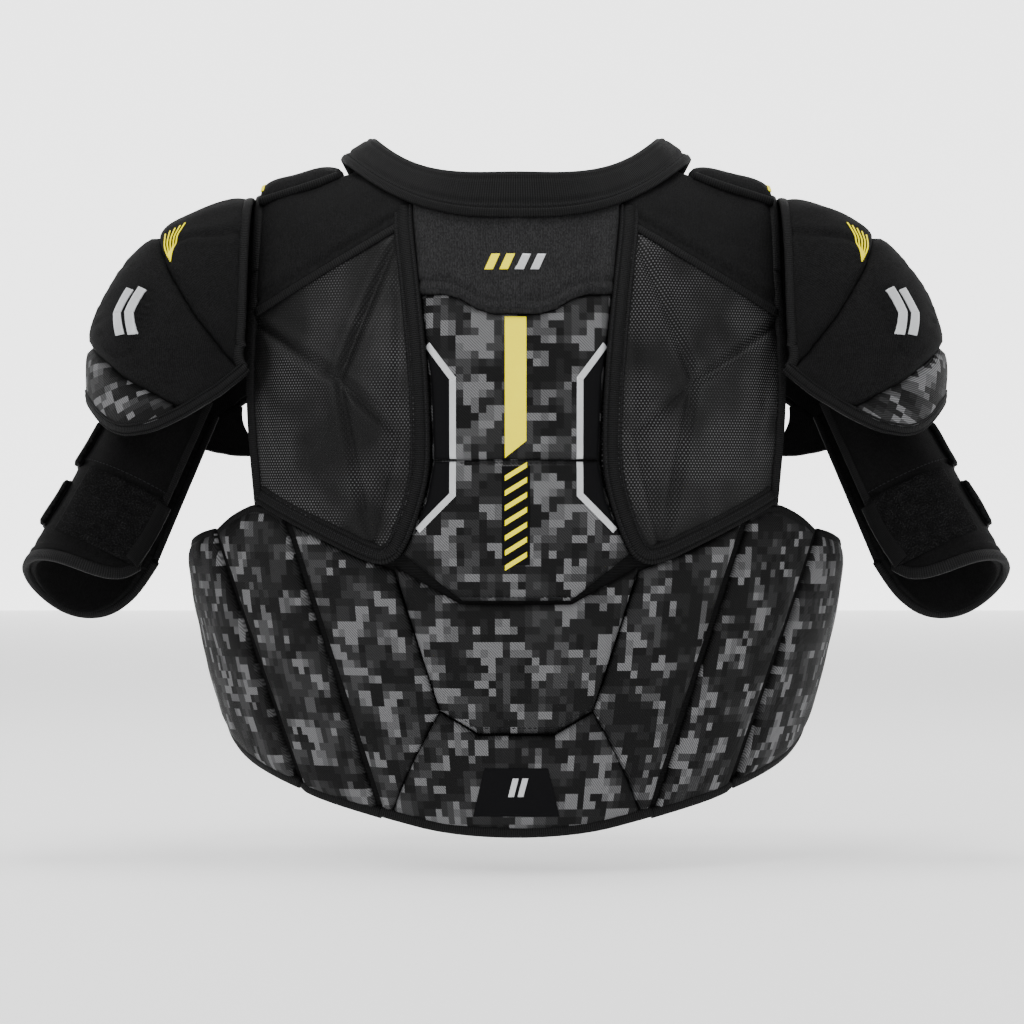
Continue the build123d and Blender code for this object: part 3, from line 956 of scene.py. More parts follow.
@dataclass
class Pad:
    """A foam pad: a crowned top with grooves over a closed underside."""

    name: str
    chart: Chart
    outline: Outline
    finish: Finish
    body: str = ""
    nodes: tuple[str, ...] = ()
    crown: float = 2.0
    edge: float = -3.5
    base: float = -9.0
    round_over: float = 15.0
    grooves: tuple[Groove, ...] = ()
    cell: float = 2.4
    fill: float | None = 0.75
    unevenness: float = 0.55
    shift: tuple[float, float] = (0.0, 0.0)
    lines: list[np.ndarray] = field(default_factory=list)
    groove_lines: list[np.ndarray] = field(default_factory=list)

    def __post_init__(self) -> None:
        """Work out the border and the grooves in space once."""
        outline = self.outline
        sides = (outline.bottom, outline.top, outline.left, outline.right)
        self.lines = [self._in_space(side, outline.rounds) for side in sides]
        self.groove_lines = [self._in_space(groove.line, groove.rounds) for groove in self.grooves]

    def _in_space(self, line: Line, rounds: int) -> np.ndarray:
        """Closely spaced points over a flat line."""
        flat = spaced(line, TRACE_GAP, rounds)
        return self.chart.points(flat[:, 0], flat[:, 1])

    def height(self, u: np.ndarray, v: np.ndarray) -> np.ndarray:
        """Height of the pad's top over the chart at flat places."""
        places = self.chart.points(u, v)
        inward = np.full(len(places), FAR_AWAY)
        for line in self.lines:
            inward = np.minimum(inward, nearest(places, line))
        share = np.clip(inward / self.round_over, 0.0, 1.0)
        rise = np.sqrt(np.maximum(1.0 - (1.0 - share) ** 2.2, 0.0))
        top = self.edge + (self.crown - self.edge) * rise
        dip, swell = np.zeros(len(places)), np.zeros(len(places))
        for groove, line in zip(self.grooves, self.groove_lines):
            away = nearest(places, line) / groove.width
            dip = np.maximum(dip, groove.depth * np.exp(-(away**2)))
            swell = np.maximum(swell, 0.22 * groove.depth * np.exp(-(((away - 2.6) / 1.6) ** 2)))
        top = top - dip + swell
        loose = ripple(places, 46.0, len(self.name) * 0.37) * self.unevenness
        return np.maximum(top + loose * rise, self.base + 1.2)

    def build(self) -> bpy.types.Object:
        """Make the pad.

        Returns:
            The piece, riding on its body if it has one.
        """
        columns, rows = self.outline.counts(self.cell)
        mesh = blank(self.name, columns, rows)
        unit = unit_places(mesh)
        flat = self.outline.spread(unit[:, 0], unit[:, 1])
        top = self.height(flat[:, 0], flat[:, 1])
        height = np.where(unit[:, 2] > 0.5, top, self.base)
        places = self.chart.lift(flat[:, 0], flat[:, 1], height)
        write_pattern(mesh, flat * np.array([self.chart.hand, 1.0]), self.shift)
        settle(mesh, places)
        obj = put(shown(self.name, mesh), self.finish, self.body, self.nodes)
        return obj

    def decal(
        self, name: str, outline: Outline, finish: Finish, rise: float = 0.35
    ) -> bpy.types.Object:
        """A thin print or patch on the pad's top.

        Args:
            name: the piece's name.
            outline: its flat pattern.
            finish: its finish.
            rise: its thickness above the cloth.

        Returns:
            The piece.
        """
        columns, rows = outline.counts(min(2.0, self.cell))
        mesh = blank(name, columns, rows)
        unit = unit_places(mesh)
        flat = outline.spread(unit[:, 0], unit[:, 1])
        height = self.height(flat[:, 0], flat[:, 1]) + np.where(unit[:, 2] > 0.5, rise, -0.5)
        write_pattern(mesh, flat, self.shift)
        settle(mesh, self.chart.lift(flat[:, 0], flat[:, 1], height))
        return put(shown(name, mesh), finish, self.body)


Height = Callable[[np.ndarray, np.ndarray], np.ndarray]


def level(height: float) -> Height:
    """A constant height over a chart."""
    return lambda u, v: np.full(len(u), height)


class Section(Enum):
    """Cross-sections of tapes, as (across, up) with across from -1 to 1."""

    BOUND = [
        (-1.0, 0.0), (-0.98, 0.45), (-0.75, 0.85), (-0.3, 1.0), (0.3, 1.0), (0.75, 0.85),
        (0.98, 0.45), (1.0, 0.0), (0.6, -0.6), (-0.6, -0.6),
    ]
    TWIN = [
        (-1.0, 0.0), (-0.95, 0.6), (-0.8, 0.95), (-0.62, 0.9), (-0.52, 0.55), (-0.42, 0.9),
        (0.0, 1.0), (0.42, 0.9), (0.52, 0.55), (0.62, 0.9), (0.8, 0.95), (0.95, 0.6), (1.0, 0.0),
        (0.6, -0.6), (-0.6, -0.6),
    ]
    FLAT = [
        (-1.0, 0.2), (-0.96, 0.8), (-0.85, 1.0), (0.0, 1.0), (0.85, 1.0), (0.96, 0.8), (1.0, 0.2),
        (0.9, 0.0), (-0.9, 0.0),
    ]
    ROLL = [(cos(tau * i / 14), sin(tau * i / 14)) for i in range(13, -1, -1)]


@dataclass
class Tape:
    """A binding, webbing or piping that runs along a line on a chart."""

    name: str
    chart: Chart
    line: Line
    width: float
    thick: float
    finish: Finish = Finish.TAPE
    section: Section = Section.BOUND
    over: Height = field(default_factory=lambda: level(0.0))
    body: str = ""
    nodes: tuple[str, ...] = ()
    rounds: int = 2
    gap: float = 2.6

    def path(self) -> tuple[np.ndarray, np.ndarray, np.ndarray, np.ndarray]:
        """Flat places, points, outward and sideways directions along the tape."""
        flat = spaced(self.line, self.gap, self.rounds)
        u, v = flat[:, 0], flat[:, 1]
        points = self.chart.lift(u, v, self.over(u, v))
        out = self.chart.normals(u, v)
        ahead = np.gradient(points, axis=0)
        ahead /= np.maximum(np.linalg.norm(ahead, axis=1, keepdims=True), 1e-9)
        side = np.cross(ahead, out)
        side /= np.maximum(np.linalg.norm(side, axis=1, keepdims=True), 1e-9)
        return flat, points, np.cross(side, ahead), side

    def build(self) -> bpy.types.Object:
        """Make the tape, with closed ends."""
        _, points, out, side = self.path()
        shape = np.array(self.section.value) * np.array([self.width / 2, self.thick])
        count, ring = len(points), len(shape)
        bm = bmesh.new()
        bmesh.ops.create_grid(bm, x_segments=count - 1, y_segments=ring, size=0.5)
        mesh = bpy.data.meshes.new(self.name)
        bm.to_mesh(mesh)
        bm.free()
        unit = unit_places(mesh) + 0.5
        i = np.rint(unit[:, 0] * (count - 1)).astype(int)
        j = np.rint(unit[:, 1] * ring).astype(int)
        place = points[i] + side[i] * shape[j % ring, :1] + out[i] * shape[j % ring, 1:]
        length = np.concatenate([[0.0], np.cumsum(np.linalg.norm(np.diff(points, axis=0), axis=1))])
        girth = np.concatenate([[0.0], np.cumsum(np.linalg.norm(np.diff(shape, axis=0), axis=1))])
        girth = np.append(girth, girth[-1] + np.linalg.norm(shape[0] - shape[-1]))
        write_pattern(mesh, np.stack([length[i], girth[j]], axis=1), (0.0, 0.0))
        mesh.vertices.foreach_set("co", (place * MM).astype(np.float32).ravel())
        bm = bmesh.new()
        bm.from_mesh(mesh)
        bmesh.ops.remove_doubles(bm, verts=bm.verts, dist=1e-6)
        open_edges = [e for e in bm.edges if e.is_boundary]
        bmesh.ops.holes_fill(bm, edges=open_edges, sides=0)
        bmesh.ops.recalc_face_normals(bm, faces=bm.faces)
        bm.to_mesh(mesh)
        bm.free()
        mesh.polygons.foreach_set("use_smooth", np.ones(len(mesh.polygons), bool))
        mesh.update()
        return put(shown(self.name, mesh), self.finish, self.body, self.nodes)


def stitches(
    name: str,
    chart: Chart,
    lines: Sequence[Line],
    over: Height,
    body: str,
    pitch: float = 3.4,
    long: float = 2.5,
    thick: float = 0.9,
    finish: Finish = Finish.THREAD,
    rounds: int = 2,
) -> bpy.types.Object:
    """A row of stitches along each line.

    Args:
        name: the piece's name.
        chart: the surface sewn.
        lines: flat lines that the rows follow.
        over: height of the cloth there.
        body: the CAD body that the thread moves with.
        pitch: distance from stitch to stitch.
        long: length of a stitch.
        thick: its thickness.
        finish: the thread's finish.
        rounds: how much the lines' corners are cut.

    Returns:
        The piece.
    """
    bm = bmesh.new()
    for line in lines:
        flat = spaced(line, pitch, rounds)
        u, v = flat[:, 0], flat[:, 1]
        points = chart.lift(u, v, over(u, v)) * MM
        out = chart.normals(u, v)
        ahead = np.gradient(points, axis=0)
        ahead /= np.maximum(np.linalg.norm(ahead, axis=1, keepdims=True), 1e-9)
        side = np.cross(out, ahead)
        for p, a, b, c in zip(points, side * thick * MM, out * thick * MM, ahead * long * MM):
            turn = Matrix((a, b, c)).transposed().to_4x4()
            turn.translation = p
            bmesh.ops.create_uvsphere(bm, u_segments=5, v_segments=4, radius=0.5, matrix=turn)
    mesh = bpy.data.meshes.new(name)
    bm.to_mesh(mesh)
    bm.free()
    write_pattern(mesh, unit_places(mesh)[:, [0, 2]] / MM, (0.0, 0.0))
    mesh.polygons.foreach_set("use_smooth", np.ones(len(mesh.polygons), bool))
    mesh.update()
    outside_out(mesh)
    return put(shown(name, mesh), finish, body)


def mirrored(line: Line) -> list[tuple[float, float]]:
    """A line on the other side of the middle, run the other way."""
    return [(-u, v) for u, v in reversed(line)]


def whole(half: Line) -> list[tuple[float, float]]:
    """A line across the middle from its half, which starts at the middle."""
    return mirrored(half)[: -1 if half[0][0] == 0 else None] + list(half)


def bar(x0: float, x1: float, z0: float, z1: float, slant: float = 0.0) -> Outline:
    """A straight-sided print, slanting by a rise to its right-hand side."""
    return between([(x0, z0), (x1, z0 + slant)], [(x0, z1), (x1, z1 + slant)])


def strip(points: Line, width: float) -> list[Outline]:
    """Straight runs of a printed line of a width, mitred where they meet."""
    line = np.array(points, float)
    ways = np.diff(line, axis=0)
    ways /= np.linalg.norm(ways, axis=1, keepdims=True)
    sides = np.stack([-ways[:, 1], ways[:, 0]], axis=1)
    edges = []
    for i, point in enumerate(line):
        a, b = sides[max(i - 1, 0)], sides[min(i, len(sides) - 1)]
        mid = a + b
        mid = mid / (mid @ a)
        edges.append((point - mid * width / 2, point + mid * width / 2))
    return [
        between([tuple(l0), tuple(l1)], [tuple(h0), tuple(h1)])
        for (l0, h0), (l1, h1) in zip(edges[:-1], edges[1:])
    ]


# ------------------------------------------------------------------ middle of the back
@dataclass
class Spine:
    """The column of panels down the middle of the back, with its prints."""

    torso: Torso = Torso()
    seam: Line = ((0.0, -86.0), (22.0, -86.0), (45.0, -71.5), (68.0, -71.5))
    waist_seam: float = -189.0
    strip_left: float = -8.0
    strip_right: float = 7.0
    mark_slant: float = 12.0
    mark_pitch: float = 10.4
    chevron: Line = ((63.0, -108.0), (44.5, -132.0), (44.5, -213.0), (70.0, -238.0))

    def _lay(self, half: Line) -> list[tuple[float, float]]:
        """Flat places of a line across the middle, from its half as seen from behind."""
        return self.torso.lay(whole(half))

    def name_panel(self) -> Pad:
        """The smooth panel under the collar, with a stepped lower edge."""
        channel = [(x, z + 9.0) for x, z in self.seam]
        return Pad(
            "name_panel_cover",
            self.torso,
            even(
                self.torso, self.seam, [(0, -9), (35, -7), (76, 2)],
                [(68, -71.5), (73, -25), (76, 2)],
            ),
            Finish.PANEL_KNIT,
            "back",
            ("name_panel",),
            crown=3.0,
            edge=-0.4,
            round_over=7.0,
            grooves=(Groove(self._lay(channel), 1.9, 2.0, 1),),
            unevenness=0.2,
        )

    def upper(self) -> Pad:
        """The camouflage panel between the shoulder blades."""
        side = [(58.5, -188.9), (61, -130), (67.5, -72)]
        return Pad(
            "spine_upper_cover",
            self.torso,
            even(self.torso, [(58.5, -188.9)], [(x, z - 0.5) for x, z in self.seam], side),
            Finish.CAMO,
            "back",
            ("spine_upper_pad",),
            crown=1.2,
            edge=-2.2,
            round_over=9.0,
            shift=(37.0, 21.0),
        )

    def middle(self) -> Pad:
        """The camouflage panel that widens to the waist."""
        side = [(80, -254), (75, -244), (63.5, -217), (58.5, -189.1)]
        return Pad(
            "spine_middle_cover",
            self.torso,
            even(self.torso, [(38, -287), (80, -254)], [(58.5, -189.1)], side, 0),
            Finish.CAMO,
            "back",
            ("spine_middle_pad",),
            crown=1.6,
            edge=-2.2,
            round_over=10.0,
            shift=(-12.0, 90.0),
        )

    def build(self) -> None:
        """Make the panels, prints and stitches."""
        panel, upper, middle = self.name_panel(), self.upper(), self.middle()
        for pad in (panel, upper, middle):
            pad.build()
        self._prints(panel, upper, middle)
        sewn = [(x, z + 2.4) for x, z in self.seam]
        stitches("name_panel_stitches", self.torso, [self._lay(sewn)], panel.height, "back")
        row = self.torso.lay([(-38, self.waist_seam - 1.8), (38, self.waist_seam - 1.8)])
        stitches("spine_cross_stitches", self.torso, [row], middle.height, "back", 4.0, 2.8, 0.8)

    def _prints(self, panel: Pad, upper: Pad, middle: Pad) -> None:
        """Lay the plain marks on the panels."""
        for i, finish in enumerate((Finish.YELLOW, Finish.YELLOW, Finish.SILVER, Finish.SILVER)):
            x = -22.0 + 10.5 * i
            mark = between([(x, -56), (x + 6, -56)], [(x + 5, -45), (x + 11, -45)])
            panel.decal(f"panel_mark_{i + 1}", mark, finish)
        low, high = self.waist_seam + 1.5, -88.5
        left, right, slant = self.strip_left, self.strip_right, self.mark_slant
        strip_print = between([(left, low), (right, low + slant)], [(left, high), (right, high)])
        upper.decal("centre_strip", strip_print, Finish.YELLOW)
        middle.decal(
            "mark_ground", bar(left - 2, right + 2.5, -262, self.waist_seam - 4),
            Finish.BLACK_PRINT, 0.2,
        )
        for i in range(7):
            base = self.waist_seam - 10.0 - self.mark_pitch * i + 1.5
            mark = bar(left, right + 0.5, base - 6, base - 2.2, self.mark_slant * 0.8)
            middle.decal(f"slant_mark_{i + 1}", mark, Finish.YELLOW, 0.45)
        top, corner, low_corner, end = self.chevron
        join = self.waist_seam
        for side, hand in SIDES.items():
            def place(line: Line) -> list[tuple[float, float]]:
                """The line on this side."""
                return [(x * hand, z) for x, z in line]

            shade = Outline(
                place([(44.5, join + 1), (57.5, join + 1)]),
                place([top, (64.5, -108)]),
                place([(44.5, join + 1), corner, top]),
                place([(57.5, join + 1), (60, -130), (64.5, -108)]),
                0,
            )
            upper.decal(f"{side}_upper_ground", shade, Finish.BLACK_PRINT, 0.2)
            shade = Outline(
                place([end, (73, -241)]),
                place([(44.5, join - 1), (57.5, join - 1)]),
                place([end, low_corner, (44.5, join - 1)]),
                place([(73, -241), (63, -217), (57.5, join - 1)]),
                0,
            )
            middle.decal(f"{side}_lower_ground", shade, Finish.BLACK_PRINT, 0.2)
            for i, run in enumerate(strip(place([top, corner, (44.5, join + 1)]), 4.6)):
                upper.decal(f"{side}_upper_chevron_{i + 1}", run, Finish.SILVER, 0.45)
            for i, run in enumerate(strip(place([(44.5, join - 1), low_corner, end]), 4.6)):
                middle.decal(f"{side}_lower_chevron_{i + 1}", run, Finish.SILVER, 0.45)


@dataclass
class Shoulder:
    """One shoulder blade pad with its yoke, arch and bindings."""

    side: str
    node: tuple[float, float] = (124.0, -132.0)
    arch_back: float = -59.3
    arch_front: float = 38.4

    def __post_init__(self) -> None:
        """Set the charts for this side."""
        hand = SIDES[self.side]
        self.torso = Torso(hand=hand)
        self.ridge = Ridge(hand=hand)

    @staticmethod
    def yoke_edge(x: float) -> float:
        """Height of the seam between the yoke and the blade pad."""
        return -17.8 - 0.5877 * (x - 74.0)

    def blade(self) -> Pad:
        """The mesh pad over the shoulder blade, pressed into facets."""
        n = self.node
        rays = [
            [n, (85, -34)],
            [n, (184, -92)],
            [n, (84, -169)],
            [n, (101, -248)],
            [(84, -169), (101, -248)],
            [(84, -169), (80, -90), (85, -34)],
            [(101, -248), (168, -196), (184, -92)],
        ]
        return Pad(
            f"{self.side}_blade_cover",
            self.torso,
            Outline(
                bottom=self.torso.lay([(89, -256), (96, -258.5), (129, -246.5), (183, -218)]),
                top=self.torso.lay([(74, -17.8), (188, -84.8)]),
                left=self.torso.lay(
                    [
                        (89, -256), (76, -244), (64, -217), (59, -188), (61, -130), (67, -72),
                        (74, -17.8),
                    ]
                ),
                right=self.torso.lay([(183, -218), (190, -131), (188, -84.8)]),
            ),
            Finish.MESH,
            "back",
            (f"{self.side}_blade_pad", f"{self.side}_blade_plate"),
            crown=2.4,
            grooves=tuple(
                Groove(self.torso.lay(ray), 2.6 if i < 5 else 1.0, 3.0 if i < 5 else 4.5, 2)
                for i, ray in enumerate(rays)
            ),
            cell=2.1,
            unevenness=0.25,
        )

    def yoke(self) -> Pad:
        """The knit yoke between the collar, the arch and the blade pad."""
        collar = CollarRing()
        tops = [(x, collar.foot_height(x) + 5.0) for x in (74, 90, 104, 116)]
        fold = [self.ridge.over(x, self.yoke_edge(x) + 9.0) for x in (80, 110, 140, 165, 186)]
        seam = [
            self.ridge.over(x, self.yoke_edge(x) + 0.3) for x in (74, 92, 110, 128, 146, 165, 188)
        ]
        top = [self.ridge.over(x, z) for x, z in tops] + [(128, -40.0), (188, -40.0)]
        return Pad(
            f"{self.side}_yoke_cover",
            self.ridge,
            Outline(bottom=seam, top=top, left=[seam[0], top[0]], right=[seam[-1], top[-1]]),
            Finish.KNIT,
            "back",
            (f"{self.side}_yoke_pad",),
            crown=3.2,
            edge=-2.5,
            round_over=16.0,
            grooves=(Groove(fold, 1.3, 2.6, 2),),
            unevenness=0.8,
        )

    def arch(self) -> Pad:
        """The padded arch over the shoulder."""
        low, high = self.arch_back, self.arch_front
        return Pad(
            f"{self.side}_arch_cover",
            self.ridge,
            Outline(
                bottom=[(127, low + 8), (145, low), (187, low - 4)],
                top=[(127, high), (187, high)],
                left=[(127, low + 8), (127, high)],
                right=[(187, low - 4), (187, high)],
                rounds=2,
            ),
            Finish.KNIT,
            "back",
            (f"{self.side}_shoulder_arch",),
            crown=11.0,
            edge=3.0,
            base=0.8,
            round_over=22.0,
            unevenness=0.7,
        )

    def build(self) -> None:
        """Make the pads and everything sewn round them."""
        blade, yoke, arch = self.blade(), self.yoke(), self.arch()
        for pad in (blade, yoke, arch):
            pad.build()
        band = [
            *[(80, -8), (80.5, -20), (74, -72), (68.5, -130), (66.5, -188), (71, -214)],
            *[(80, -240), (87, -253), (97, -256), (129, -240.5), (181, -212.5)],
        ]
        laid = self.torso.lay(band)
        Tape(
            f"{self.side}_blade_band", self.torso, laid, 14.5, 3.2, Finish.TAPE, Section.TWIN,
            level(0.2), "back",
        ).build()
        rows = [[(u + d, v) for u, v in laid] for d in (-5.4, 5.4)]
        stitches(f"{self.side}_band_stitches", self.torso, rows, level(3.1), "back", 3.2, 2.4, 0.8)
        edge = self.torso.lay([(183, -220), (188, -170), (190, -131), (189, -86), (187, -52)])
        Tape(
            f"{self.side}_armhole_binding", self.torso, edge, 8.0, 3.4, over=level(-1.5),
            body="back",
        ).build()
        over = [(187.5, self.ridge.over(187, -52)[1]), (188, -70), (188, -35), (188, 36)]
        Tape(
            f"{self.side}_shoulder_binding", self.ridge, over, 8.0, 3.4, over=level(-1.0),
            body="back",
        ).build()
        fold = [self.ridge.over(x, self.yoke_edge(x) + 1.0) for x in (78, 110, 140, 165, 186)]
        Tape(
            f"{self.side}_yoke_fold", self.ridge, fold, 7.0, 2.4, Finish.COLLAR, Section.BOUND,
            level(0.4), "back",
        ).build()
        rope = [(129, self.arch_back + 9), (146, self.arch_back + 1), (186, self.arch_back - 3)]
        Tape(
            f"{self.side}_arch_rope", self.ridge, rope, 7.0, 3.6, Finish.COLLAR, Section.ROLL,
            level(4.4), "back",
        ).build()
        stripe = [(183.5, -46), (183.5, -20), (183.5, 8), (183.5, 26)]
        Tape(
            f"{self.side}_arch_stripe", self.ridge, stripe, 2.6, 0.8, Finish.YELLOW, Section.FLAT,
            arch.height, "back",
        ).build()


@dataclass
class Collar:
    """The ribbed collar, one band all the way round the neck."""

    ring: CollarRing = CollarRing()

    def build(self) -> None:
        """Make the band, its foot binding and its stitches."""
        half = pi * self.ring.round_scale - 0.5
        high = self.ring.band
        band = Pad(
            "collar_band",
            self.ring,
            bar(-half, half, 0, high),
            Finish.COLLAR,
            "back",
            ("collar_back", "collar_front"),
            crown=0.9,
            edge=-1.6,
            base=-5.6,
            round_over=4.5,
            grooves=(
                Groove([(-half, 9.5), (half, 9.5)], 0.9, 1.2, 0),
                Groove([(-half, high - 6), (half, high - 6)], 0.6, 1.0, 0),
            ),
            cell=2.0,
            unevenness=0.5,
        )
        band.build()
        foot = [(-half + 377.0 * i / 12, 1.0) for i in range(25)]
        foot = [(u, v) for u, v in foot if u < half]
        Tape(
            "collar_foot_binding", self.ring, foot, 6.5, 2.6, Finish.COLLAR, over=level(-0.2),
            body="back",
        ).build()
        Tape(
            "collar_top_piping", self.ring, [
                (u, high - 0.8) for u, _ in foot
            ], 4.2, 1.9, Finish.COLLAR, Section.ROLL, level(-2.6), "back"
        ).build()
        stitches(
            "collar_stitches", self.ring, [
                [(u, 6.3) for u, _ in foot]
            ], band.height, "back", 3.6, 2.5, 0.7
        )


# ------------------------------------------------------------------ waist
@dataclass
class Waist:
    """The lower back: lumbar and tail pads, wings and the channels between them."""

    torso: Torso = Torso()
    first: tuple[float, float, float] = (163.0, -233.0, 0.326)
    second: tuple[float, float, float] = (218.5, -240.0, 0.351)
    gap: float = 2.75

    @staticmethod
    def crease(
        line: tuple[float, float, float], z: float, offset: float = 0.0
    ) -> tuple[float, float]:
        """A point of a wing crease, as seen from behind."""
        return line[0] - line[2] * (line[1] - z) + offset, z

    def lumbar(self) -> Pad:
        """The pad over the small of the back."""
        side = [(54, -364), (86, -264)]
        return Pad(
            "lumbar_cover",
            self.torso,
            even(self.torso, [(27, -380), (54, -364)], [(39, -290), (86, -264)], side, 0),
            Finish.CAMO,
            "lower_back",
            ("lumbar_pad", "lumbar_liner"),
            crown=2.2,
            edge=-2.8,
            shift=(64.0, -30.0),
            unevenness=0.5,
        )

    def tail(self) -> Pad:
        """The pad along the bottom of the back."""
        side = [(88, -438), (54, -366)]
        return Pad(
            "tail_cover",
            self.torso,
            even(
                self.torso, [(0, -450), (50, -447), (88, -438)], [(27, -382), (54, -366)], side, 0
            ),
            Finish.CAMO,
            "lower_back",
            ("tail_pad",),
            crown=1.6,
            edge=-2.6,
            round_over=12.0,
            shift=(-80.0, 55.0),
        )

    def wing(self, side: str) -> list[Pad]:
        """The three pads of one wing, from the middle outwards."""
        torso = Torso(hand=SIDES[side])
        gap = self.gap
        lay, around = torso.lay, torso.lay_side

        def edge(
            line: tuple[float, float, float], low: float, high: float, offset: float
        ) -> list[tuple[float, float]]:
            """A crease's edge, from its lower end to its upper end."""
            return lay([self.crease(line, low + (high - low) * i / 6, offset) for i in range(7)])

        first_left = edge(self.first, -437, -232.5, -gap)
        first_right = edge(self.first, -437, -230.5, gap)
        second_left = edge(self.second, -420, -240, -gap)
        second_right = edge(self.second, -418.5, -241, gap)
        inner_side = lay([(88.5, -438), (54.5, -365.5), (87, -267.0)])
        common = {"finish": Finish.CAMO, "edge": -3.0, "base": -10.0, "unevenness": 0.5}
        far = around([(20, -366), (46, -322), (50, -290), (42, -268)])
        shifts = {"right": (150.0, 12.0), "left": (40.0, 210.0)}[side]
        return [
            Pad(
                f"{side}_wing_inner_cover",
                torso,
                Outline(
                    bottom=[inner_side[0], first_left[0]],
                    top=[inner_side[-1], *lay([(94, -264), (129, -249.5)]), first_left[-1]],
                    left=inner_side,
                    right=first_left,
                    rounds=0,
                ),
                body="lower_back",
                nodes=(f"{side}_wing_inner_pad",),
                shift=shifts,
                **common,
            ),
            Pad(
                f"{side}_wing_middle_cover",
                torso,
                Outline(
                    bottom=[first_right[0], *lay([(148, -424)]), second_left[0]],
                    top=[first_right[-1], *lay([(183, -221), (204, -230)]), second_left[-1]],
                    left=first_right,
                    right=second_left,
                ),
                body=f"{side}_wing_middle",
                nodes=(f"{side}_wing_middle_pad",),
                shift=shifts,
                **common,
            ),
            Pad(
                f"{side}_wing_end_cover",
                torso,
                Outline(
                    bottom=[second_right[0], *around([(-30, -397)]), far[0]],
                    top=[second_right[-1], *around([(-40, -244), (10, -254)]), far[-1]],
                    left=second_right,
                    right=far,
                ),
                body=f"{side}_wing_end",
                nodes=(f"{side}_wing_end_pad",),
                shift=shifts,
                **common,
            ),
        ]

    def channel(
        self, side: str, name: str, line: tuple[float, float, float], ends: tuple[float, float],
        bodies: tuple[str, str],
    ) -> None:
        """The web under a crease."""
        torso = Torso(hand=SIDES[side])
        low, high = ends

        def edge(offset: float) -> list[tuple[float, float]]:
            """The web's edge."""
            return torso.lay(
                [self.crease(line, low + (high - low) * i / 6, offset) for i in range(7)]
            )

        left, right = edge(-10.0), edge(10.0)
        web = Pad(
            f"{side}_{name}",
            torso,
            Outline([left[0], right[0]], [left[-1], right[-1]], left, right),
            Finish.WEBBING,
            crown=-5.4,
            edge=-6.0,
            base=-8.8,
            round_over=4.0,
            fill=None,
            unevenness=0.1,
        )
        obj = web.build()
        middle = self.crease(line, (low + high) / 2)
        ends_at = torso.lay([(middle[0] - self.gap, middle[1]), (middle[0] + self.gap, middle[1])])
        near, far = (Vector(torso.points([u], [v])[0] * MM) for u, v in ends_at)
        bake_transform(obj)

    def waist_web(self) -> None:
        """The web between the upper and the lower back."""
        upper = [
            (0, -281), (36, -281), (74, -250), (92, -253), (129, -239), (160, -224), (178, -215)
        ]
        lower = [
            (0, -297), (42, -297), (84, -271), (97, -268), (129, -255), (160, -242), (178, -234)
        ]
        high, low = self.torso.lay(whole(upper)), self.torso.lay(whole(lower))
        web = Pad(
            "waist_web",
            self.torso,
            between(low, high),
            Finish.WEBBING,
            crown=-5.4,
            edge=-6.0,
            base=-8.8,
            round_over=4.0,
            fill=None,
            unevenness=0.1,
        )
        obj = web.build()
        near, far = (Vector(self.torso.points([0.0], [z])[0] * MM) for z in (-284.0, -294.0))
        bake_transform(obj)

    def build(self) -> None:
        """Make the pads, webs, badge and bindings."""
        lumbar, tail = self.lumbar(), self.tail()
        lumbar.build()
        tail.build()
        badge = between([(-38, -438), (38, -438)], [(-26, -404), (26, -404)])
        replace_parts(tail.decal("tail_badge_print", badge, Finish.BLACK_PRINT, 0.4), "tail_badge")
        for i, x in enumerate((-7.0, 1.0)):
            mark = between([(x, -424), (x + 5, -424)], [(x + 4, -411), (x + 9, -411)])
            tail.decal(f"badge_mark_{i + 1}", mark, Finish.SILVER, 0.7)
        lay = self.torso.lay
        stitches(
            "waist_stitches", self.torso, [lay([(-38, -284.6), (38, -284.6)])], level(1.4), "back",
            4.2, 2.8, 0.9,
        )
        stitches(
            "lumbar_stitches", self.torso,
            [lay([(-52, -361), (-27, -376), (27, -376), (52, -361)])], lumbar.height, "lower_back",
            4.2, 2.8, 0.9, rounds=0,
        )
        self.waist_web()
        bottom = lay(whole([(0, -450.5), (50, -447.5), (88, -438.5), (95.5, -436.6)]))
        Tape(
            "tail_binding", self.torso, bottom, 7.5, 3.6, over=level(-2.2), body="lower_back"
        ).build()
        for side in SIDES:
            inner, middle, end = self.wing(side)
            for pad in (inner, middle, end):
                pad.build()
            self.channel(
                side, "first_channel", self.first, (-438, -231),
                ("lower_back", f"{side}_wing_middle"),
            )
            self.channel(
                side, "second_channel", self.second, (-421, -241),
                (f"{side}_wing_middle", f"{side}_wing_end"),
            )
            for pad, part in ((middle, "middle"), (end, "end")):
                outline = pad.outline
                binding = {"section": Section.BOUND, "body": pad.body}
                (u, v), *rest = outline.bottom
                hem = [(u - 5.0, v - 1.0), (u, v), *rest]
                Tape(
                    f"{side}_wing_{part}_hem", pad.chart, hem, 7.5, 3.6, over=level(-3.0), **binding
                ).build()
                Tape(
                    f"{side}_wing_{part}_rim", pad.chart, outline.top, 8.0, 4.2, over=level(-5.2),
                    **binding,
                ).build()
            rim = [*end.outline.right]
            Tape(
                f"{side}_wing_front_binding", end.chart, rim, 7.5, 3.6, over=level(-3.0),
                body=end.body,
            ).build()


